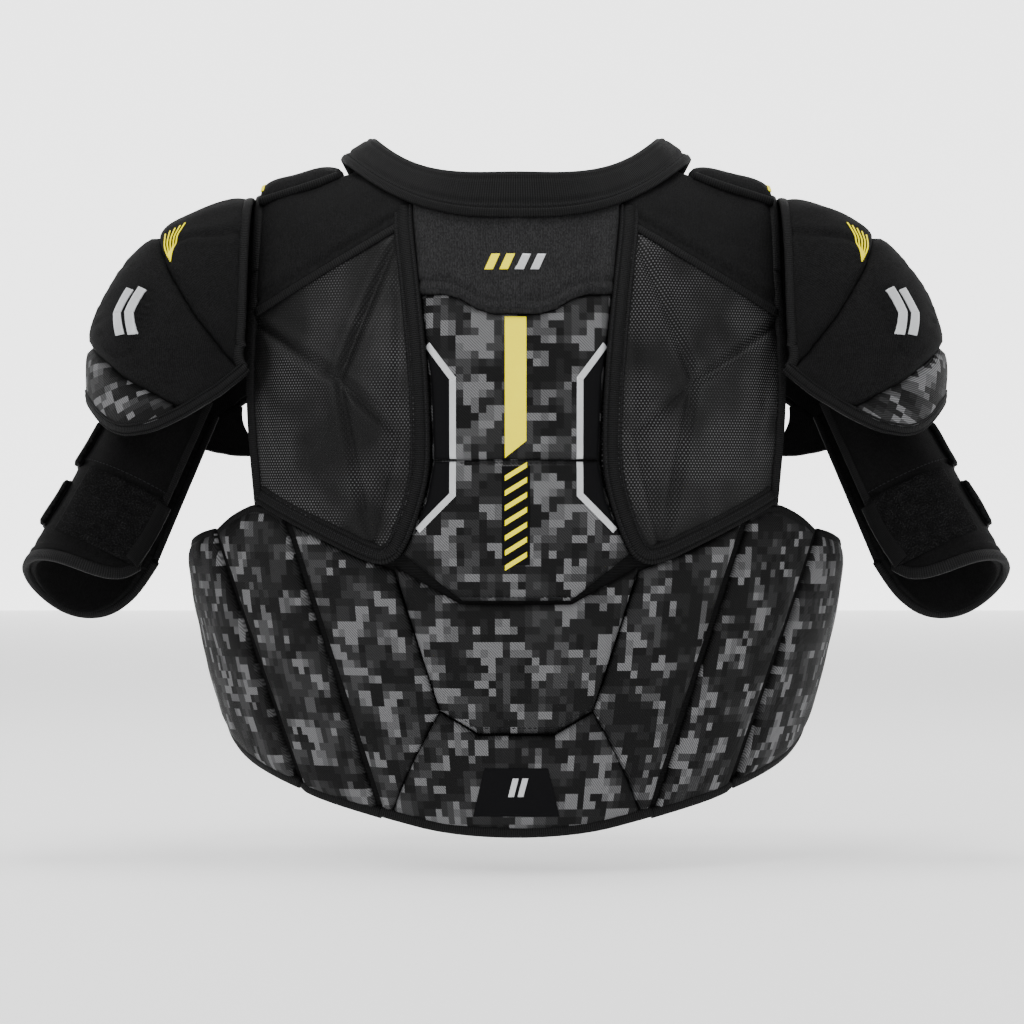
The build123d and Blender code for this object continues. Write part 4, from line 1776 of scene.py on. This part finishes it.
@dataclass(frozen=True)
class Belt(Chart):
    """An upright strap, laid out as distance along its plan and height."""

    plan: tuple[tuple[float, float], ...] = ()

    def _raw(self, u: np.ndarray, v: np.ndarray) -> np.ndarray:
        """Points at a distance along the plan and a height."""
        line = softened(self.plan, 4)
        runs = np.concatenate([[0.0], np.cumsum(np.linalg.norm(np.diff(line, axis=0), axis=1))])
        slopes = [
            (line[1] - line[0]) / (runs[1] - runs[0]), (line[-1] - line[-2]) / (runs[-1] - runs[-2])
        ]
        x, y = (
            np.interp(u, runs, line[:, i])
            + np.minimum(u, 0.0) * slopes[0][i]
            + np.maximum(u - runs[-1], 0.0) * slopes[1][i]
            for i in range(2)
        )
        return np.stack([x, y, v], axis=1)

    def length(self) -> float:
        """Length of the plan."""
        return float(np.linalg.norm(np.diff(softened(self.plan, 4), axis=0), axis=1).sum())


@dataclass
class SideStrap:
    """The elastic strap that closes one side of the waist."""

    side: str
    plan: tuple = ((222.5, 50.0), (219.0, 68.0), (206.0, 97.0), (184.0, 134.0))
    tab_plan: tuple = ((182.4, 136.0), (161.0, 160.0))

    def build(self) -> None:
        """Make the strap and its hook tab."""
        floor, ceiling = (corner[2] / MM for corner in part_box(f"{self.side}_side_strap"))
        middle, half = (floor + ceiling) / 2, (ceiling - floor) / 2
        for name, plan, reach, thick, finish in (
            ("side_strap", self.plan, half, 1.1, Finish.WEBBING),
            ("side_strap_tab", self.tab_plan, half - 2.0, 1.6, Finish.PILE),
        ):
            belt = Belt(hand=SIDES[self.side], plan=plan)
            low, high, far = middle - reach, middle + reach, belt.length()
            Pad(
                f"{self.side}_{name}_webbing",
                belt,
                bar(0.0, far, low, high),
                finish,
                f"{self.side}_side_strap",
                (f"{self.side}_{name}",),
                crown=thick,
                edge=thick * 0.5,
                base=-thick,
                round_over=2.0,
                grooves=(Groove([(6, low), (6, high)], 0.4, 1.0, 0),),
                fill=None,
                unevenness=0.15,
            ).build()


# ------------------------------------------------------------------ front
@dataclass
class Front:
    """The chest and belly pads."""

    torso: Torso = Torso(front=True, outward=-1.0)

    def build(self) -> None:
        """Make the front pads, their bindings and the loop patches."""
        lay = self.torso.lay
        sternum = Pad(
            "sternum_cover",
            self.torso,
            even(
                self.torso, [(0, -241), (38, -238)], [(0, -71), (24, -69), (40, -67)],
                [(38, -238), (41, -190), (40, -67)],
            ),
            Finish.CAMO,
            "front",
            ("sternum_pad", "sternum_plate"),
            crown=1.5,
            grooves=(Groove(lay([(-40, -150), (0, -162), (40, -150)]), 2.4, 3.0, 0),),
        )
        belly = Pad(
            "belly_cover",
            self.torso,
            even(
                self.torso, [(0, -396), (60, -392), (112, -372)], [(0, -246), (140, -240)],
                [(112, -372), (144, -300), (140, -240)],
            ),
            Finish.KNIT,
            "front",
            ("belly_pad",),
            crown=1.5,
            grooves=(Groove(lay([(-142, -330), (0, -345), (142, -330)]), 2.2, 3.2, 0),),
        )
        for pad in (sternum, belly):
            pad.build()
        hem = lay(whole([(0, -396), (60, -392), (112, -372), (144, -300), (140, -240)]))
        Tape("belly_binding", self.torso, hem, 7.5, 3.6, over=level(-2.6), body="front").build()
        liner = Pad(
            "front_lining",
            self.torso,
            even(
                self.torso, [(0, -230), (120, -226)], [(0, -100), (60, -84), (112, -54)],
                [(120, -226), (152, -180), (156, -80), (112, -54)],
            ),
            Finish.LINING,
            "front",
            ("front_liner",),
            crown=-11.4,
            edge=-12.4,
            base=-15.2,
            round_over=5.0,
            cell=3.6,
        )
        liner.build()
        for side, hand in SIDES.items():
            self._side(side, hand)

    def _side(self, side: str, hand: float) -> None:
        """Make one side's pads."""
        torso = Torso(hand=hand, front=True, outward=-1.0)
        lay = torso.lay
        chest = Pad(
            f"{side}_chest_cover",
            torso,
            Outline(
                bottom=lay([(42, -239), (92, -238), (140, -234)]),
                top=lay([(42, -65), (66, -53), (92, -29), (110, -13), (128, -10), (182, -40)]),
                left=lay([(42, -239), (42, -65)]),
                right=lay([(140, -234), (160, -196), (176, -130), (182, -40)]),
            ),
            Finish.KNIT,
            "front",
            (f"{side}_chest_pad",),
            crown=2.2,
            grooves=(
                Groove(lay([(44, -150), (110, -128), (176, -140)]), 2.4, 3.2, 1),
                Groove(lay([(110, -128), (118, -16)]), 2.0, 3.0, 0),
            ),
        )
        chest.build()
        Tape(
            f"{side}_chest_binding", torso, chest.outline.right, 7.5, 3.4, over=level(-2.4),
            body="front",
        ).build()
        ridge = Ridge(hand=hand)
        collar = CollarRing()
        upper = [
            (
                x, max(54.0, ridge.over(x, collar.foot_height(x, True) - 7, False)[1])
            ) for x in (116, 124, 138, 160, 186)
        ]
        lower = [
            ridge.over(
                x, -9.0 - 0.556 * max(0, x - 128.5), False
            ) for x in (116, 128.5, 145, 165, 186)
        ]
        bone = Pad(
            f"{side}_collarbone_cover",
            ridge,
            between(upper, lower, 1),
            Finish.KNIT,
            "front",
            (f"{side}_collarbone_pad",),
            crown=1.2,
            edge=-2.0,
            round_over=6.0,
            unevenness=0.3,
        )
        bone.build()
        patch = lay([(94, -322), (136, -272)])
        (u0, v0), (u1, v1) = patch
        Pad(
            f"{side}_front_loop",
            torso,
            bar(u0, u1, v0, v1),
            Finish.PILE,
            "front",
            (f"{side}_front_loop_patch",),
            crown=3.2,
            edge=2.2,
            base=0.6,
            round_over=3.0,
            fill=None,
        ).build()


# ------------------------------------------------------------------ arms
@dataclass
class Cap:
    """One shoulder cap: two knit pads, a camouflage tip and a hard shell inside."""

    side: str
    back_reach: float = 84.0
    front_reach: float = 78.0
    inner: float = 14.0
    limit: float = 135.0
    crease: Line = ((200.0, -119.0), (229.0, -84.0), (250.0, -50.0), (262.0, -21.0))
    tip: Line = ((235.0, -155.0), (246.0, -147.0), (280.0, -130.0), (345.0, -78.0))
    hem: Line = (
        (190.0, -122.0),
        (209.0, -138.0),
        (235.0, -155.0),
        (259.0, -166.0),
        (279.0, -169.0),
        (294.0, -163.0),
        (303.0, -153.0),
        (318.0, -137.0),
        (345.0, -126.0),
    )

    def __post_init__(self) -> None:
        """Lay out the lines that part the pads."""
        self.dome = Dome(hand=SIDES[self.side])
        back, front = (
            radians(a) * self.dome.half_depth for a in (self.back_reach, self.front_reach)
        )
        self.stations = [-back + (back + front) * i / 48 for i in range(49)]
        crease, tip, hem = (np.array(line) for line in (self.crease, self.tip, self.hem))

        def under(line: np.ndarray, x: float, z: float) -> bool:
            """Whether a point is below a line."""
            return z < np.interp(x, line[:, 0], line[:, 1])

        def past_crease(x: float, z: float) -> bool:
            """Whether a point is outside the crease."""
            return x > np.interp(z, crease[:, 1], crease[:, 0]) or under(hem, x, z)

        def past_middle(x: float, z: float) -> bool:
            """Whether a point is beyond the middle pad."""
            return under(hem, x, z) or (x > 235 and under(tip, x, z))

        self.starts = [(u, self._inner(u)) for u in self.stations]
        self.creases = self._line(past_crease)
        self.seams = self._line(past_middle)
        self.hems = self._line(lambda x, z: under(hem, x, z))

    def _inner(self, u: float) -> float:
        """How far down the dome its inner edge is."""
        x, _, _ = self.dome.points([u], [90 * pi / 180 * self.dome.radius])[0]
        radial = abs(x) - self.dome.centre[0]
        return self.dome.radius * float(np.arcsin(min(0.95, self.inner / radial)))

    def _line(self, beyond: Callable[[float, float], bool]) -> list[tuple[float, float]]:
        """Where the dome passes a line, at each station."""
        far = radians(self.limit) * self.dome.radius
        return [(u, min(far, self.dome.crossing(u, beyond, v))) for u, v in self.starts]

    def seen(self, x: float, z: float) -> tuple[float, float]:
        """Flat place of a point of the back flank, as seen from behind."""
        d = self.dome
        s, c = sin(radians(d.lean)), cos(radians(d.lean))
        across, y = x - d.centre[0], -80.0
        for _ in range(30):
            up = (z - d.centre[2] + y * s) / c
            share = min(0.999, np.hypot(across, up) / d.radius)
            y = 0.5 * y - 0.5 * d.half_depth * (1 - share**d.power) ** (1 / d.power)
        turn = np.arctan2(y / d.half_depth, share)
        return float(turn * d.half_depth), float(np.arctan2(across, up) * d.radius)

    def _between(self, low: list, high: list, first: int = 0, last: int = 49) -> Outline:
        """The pattern between two lines of the dome."""
        low, high = low[first:last], high[first:last]
        return between(low, high)

    def build(self) -> None:
        """Make the pads, the shell, the marks and the bindings."""
        side, body = self.side, f"{self.side}_cap"
        fold = [self.seen(x, z) for x, z in ((199, -25), (220, -28), (241, -29), (252, -40))]
        top = Pad(
            f"{side}_cap_top_cover",
            self.dome,
            self._between(self.starts, self.creases),
            Finish.KNIT,
            body,
            (f"{side}_cap_top_pad",),
            crown=1.8,
            edge=-3.4,
            grooves=(Groove(fold, 1.8, 2.6, 1),),
            unevenness=0.6,
        )
        recess = [
            (266, -52), (257, -72), (272, -112), (280, -116), (299, -84), (292, -50), (266, -52)
        ]
        middle = Pad(
            f"{side}_cap_middle_cover",
            self.dome,
            self._between(self.creases, self.seams),
            Finish.KNIT,
            body,
            (f"{side}_cap_middle_pad",),
            crown=2.2,
            edge=-3.4,
            grooves=(Groove([self.seen(x, z) for x, z in recess], 1.3, 1.8, 2),),
            unevenness=0.4,
        )
        gaps = [i for i in range(49) if self.hems[i][1] - self.seams[i][1] > 1.5]
        tip = Pad(
            f"{side}_cap_tip_cover",
            self.dome,
            self._between(self.seams, self.hems, gaps[0], gaps[-1] + 1),
            Finish.CAMO,
            body,
            (f"{side}_cap_tip_pad",),
            crown=1.0,
            edge=-2.6,
            round_over=8.0,
            shift=(120.0, 60.0),
        )
        shell = Pad(
            f"{side}_cap_shell_plate",
            self.dome,
            self._between(
                [(u, v + 8) for u, v in self.starts], [
                    (u, max(v - 14, w + 9)) for (u, v), (_, w) in zip(self.hems, self.starts)
                ], 6, 43
            ),
            Finish.PLASTIC,
            body,
            (f"{side}_cap_shell",),
            crown=-9.6,
            edge=-10.2,
            base=-12.0,
            round_over=3.0,
            cell=4.0,
            fill=None,
            unevenness=0.0,
        )
        for pad in (top, middle, tip, shell):
            pad.build()
        hem = [(u, v - 3.0) for u, v in self.hems]
        Tape(
            f"{side}_cap_hem", self.dome, hem, 9.5, 3.6, Finish.TAPE, Section.TWIN, level(-1.8),
            body, rounds=2,
        ).build()
        stitches(
            f"{side}_cap_hem_stitches", self.dome, [
                [(u, v - 9.5) for u, v in self.hems]
            ], level(0.4), body, 3.4, 2.5, 0.8
        )
        Tape(
            f"{side}_cap_inner_binding", self.dome, self.starts, 7.0, 3.2, over=level(-2.4),
            body=body,
        ).build()
        back = [(u + 1.5, v) for u, v in (self.starts[0], self.hems[0])]
        Tape(
            f"{side}_cap_back_binding", self.dome, back, 7.5, 3.2, over=level(-2.4), body=body,
            rounds=0,
        ).build()
        self._marks(top, middle)
        self._flap()

    def _marks(self, top: Pad, middle: Pad) -> None:
        """Lay the fan of thin stripes and the silver chevrons."""
        for i in range(5):
            line = [
                self.seen(238.5 + 3.6 * i, -17.5 - 1.9 * i),
                self.seen(244.5 + 1.9 * i, -33 - 1.2 * i),
                self.seen(247.5 + 0.9 * i, -46 + 1.5 * i),
            ]
            Tape(
                f"{self.side}_fan_stripe_{i + 1}", self.dome, line, 1.15, 0.5, Finish.YELLOW,
                Section.FLAT, top.height, f"{self.side}_cap", rounds=1,
            ).build()
        for i in range(2):
            x = 266.0 + 9.5 * i
            line = [self.seen(x, -66.0), self.seen(x + 9.0, -83.0), self.seen(x + 6.0, -99.0)]
            for j, run in enumerate(strip(line, 6.0)):
                middle.decal(f"{self.side}_cap_mark_{i + 1}_{j + 1}", run, Finish.SILVER, 0.9)

    def _flap(self) -> None:
        """The knit flap that closes the front of the cap, below its hem."""
        d = self.dome
        near = [(u, radians(82) * d.radius) for u in (98, 114, 128, 143)]
        far = [
            (u, radians(a) * d.radius) for u, a in ((98, 102), (114, 114), (128, 131), (143, 165))
        ]
        Pad(
            f"{self.side}_cap_front_flap",
            d,
            between(near, far, 1),
            Finish.KNIT,
            f"{self.side}_cap",
            crown=-1.0,
            edge=-3.0,
            base=-7.0,
            round_over=6.0,
        ).build()


@dataclass
class Bicep:
    """One bicep guard with its straps and hanger."""

    side: str
    wrap: float = 140.0
    seam: float = 79.0

    def __post_init__(self) -> None:
        """Set the chart for this side."""
        self.tube = Guard(hand=SIDES[self.side])

    def _round(self, angle: float) -> float:
        """Distance round the arm at an angle."""
        return radians(angle) * self.tube.round_scale

    def _patch(
        self, name: str, angles: tuple[float, float], span: tuple[float, float], finish: Finish,
        body: str, nodes: tuple[str, ...], crown: float, edge: float, base: float, **more: object,
    ) -> Pad:
        """A patch of the tube between two angles and two distances down the arm."""
        outline = bar(self._round(angles[0]), self._round(angles[1]), span[0], span[1])
        pad = Pad(
            f"{self.side}_{name}", self.tube, outline, finish, body, nodes, crown=crown, edge=edge,
            base=base, **more,
        )
        pad.build()
        return pad

    def build(self) -> None:
        """Make the guard, its shell, loop patch, cuff, straps and hanger."""
        side, guard = self.side, f"{self.side}_guard"
        end = self._round(self.wrap)
        cuff = [
            (-end + 2 * end * i / 24, self.tube.cuff(-end + 2 * end * i / 24)) for i in range(25)
        ]
        pad = Pad(
            f"{side}_bicep_cover",
            self.tube,
            between([(-end, 0), (end, 0)], cuff),
            Finish.SMOOTH_KNIT,
            guard,
            (f"{side}_bicep_pad",),
            crown=0.8,
            edge=-2.4,
            base=-8.0,
            round_over=10.0,
            grooves=(
                Groove([(-end, self.seam), (end, self.seam)], 1.6, 1.6, 0),
                Groove([(u, v - 12) for u, v in cuff], 1.5, 1.6, 0),
            ),
        )
        pad.build()
        self._patch(
            "bicep_shell_plate", (-95, 95), (30, 130), Finish.PLASTIC, guard,
            (f"{side}_bicep_shell",), -8.5, -8.9, -10.5, round_over=3.0, cell=4.0, fill=None,
            unevenness=0.0,
        )
        self._patch(
            "bicep_loop", (-134, -46), (81, 134), Finish.PILE, guard,
            (f"{side}_bicep_loop_patch",), 2.8, 1.6, 0.2, round_over=4.0, fill=None,
            unevenness=0.5,
        )
        Tape(
            f"{side}_cuff_binding", self.tube, cuff, 9.0, 3.4, Finish.COLLAR, over=level(-1.8),
            body=guard,
        ).build()
        for way in (-1.0, 1.0):
            edge = [(way * (end - 2), v) for v in (0.0, 50.0, 100.0, self.tube.cuff(way * end))]
            word = "back" if way < 0 else "front"
            Tape(
                f"{side}_{word}_edge_binding", self.tube, edge, 8.0, 3.2, over=level(-1.8),
                body=guard,
            ).build()
        fold = [(-end + 3, 84.0), (-end + 4, 108.0), (-end + 9, 132.0)]
        Tape(
            f"{side}_inner_strap_fold", self.tube, fold, 17.0, 5.0, Finish.WEBBING,
            over=level(-1.5), body=guard,
        ).build()
        stitches(
            f"{side}_bicep_stitches", self.tube,
            [[(-end + 4, self.seam - 3), (-self._round(20), self.seam - 3)]], pad.height, guard,
            3.6, 2.6, 0.8,
        )
        for name, at in (("upper", 64.0), ("lower", 114.0)):
            body = f"{side}_{name}_strap"
            span = (at - 19.0, at + 19.0)
            self._patch(
                f"{name}_strap_webbing", (-24, 92), span, Finish.WEBBING, body,
                (f"{side}_{name}_arm_strap",), 3.0, 2.4, 0.7, round_over=2.0, fill=None,
                unevenness=0.2,
            )
            self._patch(
                f"{name}_strap_end", (-26, -4), (span[0] + 1, span[1] - 1), Finish.PILE, body, (),
                6.0, 5.0, 3.1, round_over=2.0, fill=None,
            )
        self._patch(
            "hanger_webbing", (-28, 28), (-62, -2), Finish.WEBBING, f"{side}_hanger",
            (f"{side}_arm_hanger",), -3.0, -3.4, -6.0, round_over=2.0, fill=None, unevenness=0.2,
        )


@dataclass
class Lining:
    """The cloth inside the back and the webs at the shoulders."""

    torso: Torso = Torso()

    def build(self) -> None:
        """Make the back lining, the spine plate and the shoulder webs."""
        Pad(
            "back_lining",
            self.torso,
            even(
                self.torso, [(176, -212)], [(80, -16), (160, -42)],
                [(176, -212), (184, -120), (160, -42)],
            ),
            Finish.LINING,
            "back",
            ("back_liner",),
            crown=-11.6,
            edge=-12.4,
            base=-15.2,
            round_over=6.0,
            cell=4.0,
        ).build()
        Pad(
            "spine_stiffener",
            self.torso,
            even(
                self.torso, [(0, -252), (30, -246)], [(40, -60)],
                [(30, -246), (44, -120), (40, -60)],
            ),
            Finish.PLASTIC,
            "back",
            ("spine_plate",),
            crown=-9.5,
            edge=-9.8,
            base=-11.5,
            round_over=3.0,
            cell=4.0,
            fill=None,
            unevenness=0.0,
        ).build()
        Pad(
            "lower_back_lining",
            self.torso,
            even(
                self.torso, [(0, -446), (50, -443), (92, -434)],
                [(40, -296), (90, -270), (156, -238)], [(92, -434), (156, -238)],
            ),
            Finish.LINING,
            "lower_back",
            crown=-8.0,
            edge=-8.4,
            base=-11.4,
            round_over=6.0,
            cell=4.0,
        ).build()
        for side, hand in SIDES.items():
            ridge = Ridge(hand=hand)
            obj = Pad(
                f"{side}_shoulder_web",
                ridge,
                bar(182, 202, -240, 36),
                Finish.WEBBING,
                crown=-2.0,
                edge=-3.0,
                base=-6.0,
                round_over=4.0,
                fill=None,
            ).build()
            near, far = (Vector(ridge.points([x], [0.0])[0] * MM) for x in (188.0, 195.0))
            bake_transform(obj)


# ------------------------------------------------------------------ studio
@dataclass
class Studio:
    """Floor, lights and camera."""

    distance: float = 2.4
    aim: tuple[float, float] = (-0.003, -0.225)
    lens: float = 114.0
    floor_drop: float = 0.03
    floor_size: float = 30.0
    floor_glow: float = 0.5
    wall_glow: float = 2.2

    def build(self, low: Vector) -> None:
        """Set up the studio.

        Args:
            low: lowest corner of the object.
        """
        ground_level = low.z - self.floor_drop
        half = self.floor_size / 2
        floor = self._sheet(
            "floor", Vector((0.0, 0.0, ground_level)), (half, half, 0.0), self.floor_glow
        )
        wall = self._sheet(
            "backdrop", Vector((0.0, 6.0, ground_level + 2.0)), (3.0, 0.0, 2.0), self.wall_glow
        )
        lights = [
            self._lamp("key", (-1.5, -2.0, 1.3), 30.0, 1.1),
            self._lamp("fill", (1.8, -1.8, 0.4), 12.0, 1.2),
            self._lamp("top", (0.0, -0.1, 1.7), 26.0, 1.0),
            self._lamp("left_rim", (-1.7, 0.9, 0.5), 10.0, 0.8),
            self._lamp("right_rim", (1.7, 0.9, 0.5), 10.0, 0.8),
        ]
        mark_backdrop(floor, wall, *lights)
        world = bpy.data.worlds.new("studio")
        world.use_nodes = True
        ground = world.node_tree.nodes["Background"]
        ground.inputs[0].default_value = (1.0, 1.0, 1.0, 1.0)
        ground.inputs[1].default_value = 0.8
        bpy.context.scene.world = world
        camera = bpy.data.cameras.new("camera")
        camera.lens = self.lens
        camera.sensor_width = 36.0
        holder = bpy.data.objects.new("camera", camera)
        holder.location = (self.aim[0], -self.distance, self.aim[1])
        holder.rotation_euler = (pi / 2, 0.0, 0.0)
        bpy.context.scene.collection.objects.link(holder)
        bpy.context.scene.camera = holder
        holder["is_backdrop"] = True

    def _sheet(
        self, name: str, middle: Vector, reach: tuple[float, float, float], glow: float
    ) -> bpy.types.Object:
        """A flat pale sheet that glows a little.

        Args:
            name: its name.
            middle: its middle.
            reach: how far it goes from the middle along each axis; one is 0.
            glow: strength of its own light.

        Returns:
            The sheet.
        """
        bm = bmesh.new()
        bmesh.ops.create_grid(bm, x_segments=1, y_segments=1, size=1.0)
        for vert in bm.verts:
            across, up = vert.co.xy
            vert.co = middle + Vector((across * reach[0], up * reach[1], up * reach[2]))
        mesh = bpy.data.meshes.new(name)
        bm.to_mesh(mesh)
        bm.free()
        pale = bpy.data.materials.new(f"pale_{name}")
        pale.use_nodes = True
        shader = pale.node_tree.nodes["Principled BSDF"]
        shader.inputs["Base Color"].default_value = (0.9, 0.9, 0.9, 1.0)
        shader.inputs["Roughness"].default_value = 0.9
        shader.inputs["Emission Color"].default_value = (1.0, 1.0, 1.0, 1.0)
        shader.inputs["Emission Strength"].default_value = glow
        mesh.materials.append(pale)
        return shown(name, mesh)

    def _lamp(
        self, name: str, place: tuple[float, float, float], power: float, size: float
    ) -> bpy.types.Object:
        """A soft square light that faces the object."""
        light = bpy.data.lights.new(name, "AREA")
        light.energy = power
        light.size = size
        obj = bpy.data.objects.new(name, light)
        obj.location = place
        aim = Vector((0.0, 0.0, self.aim[1])) - Vector(place)
        obj.rotation_euler = aim.to_track_quat("-Z", "Y").to_euler()
        bpy.context.scene.collection.objects.link(obj)
        return obj


def main() -> None:
    """Build the pads and the studio."""
    logging.basicConfig(level=logging.INFO, format="%(message)s")
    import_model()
    frame_low, frame_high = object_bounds()
    Lining().build()
    Spine().build()
    for side in SIDES:
        Shoulder(side).build()
    Collar().build()
    Waist().build()
    Front().build()
    for side in SIDES:
        SideStrap(side).build()
        Cap(side).build()
        Bicep(side).build()
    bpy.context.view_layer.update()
    Studio().build(frame_low)


if __name__ == "__main__":
    main()
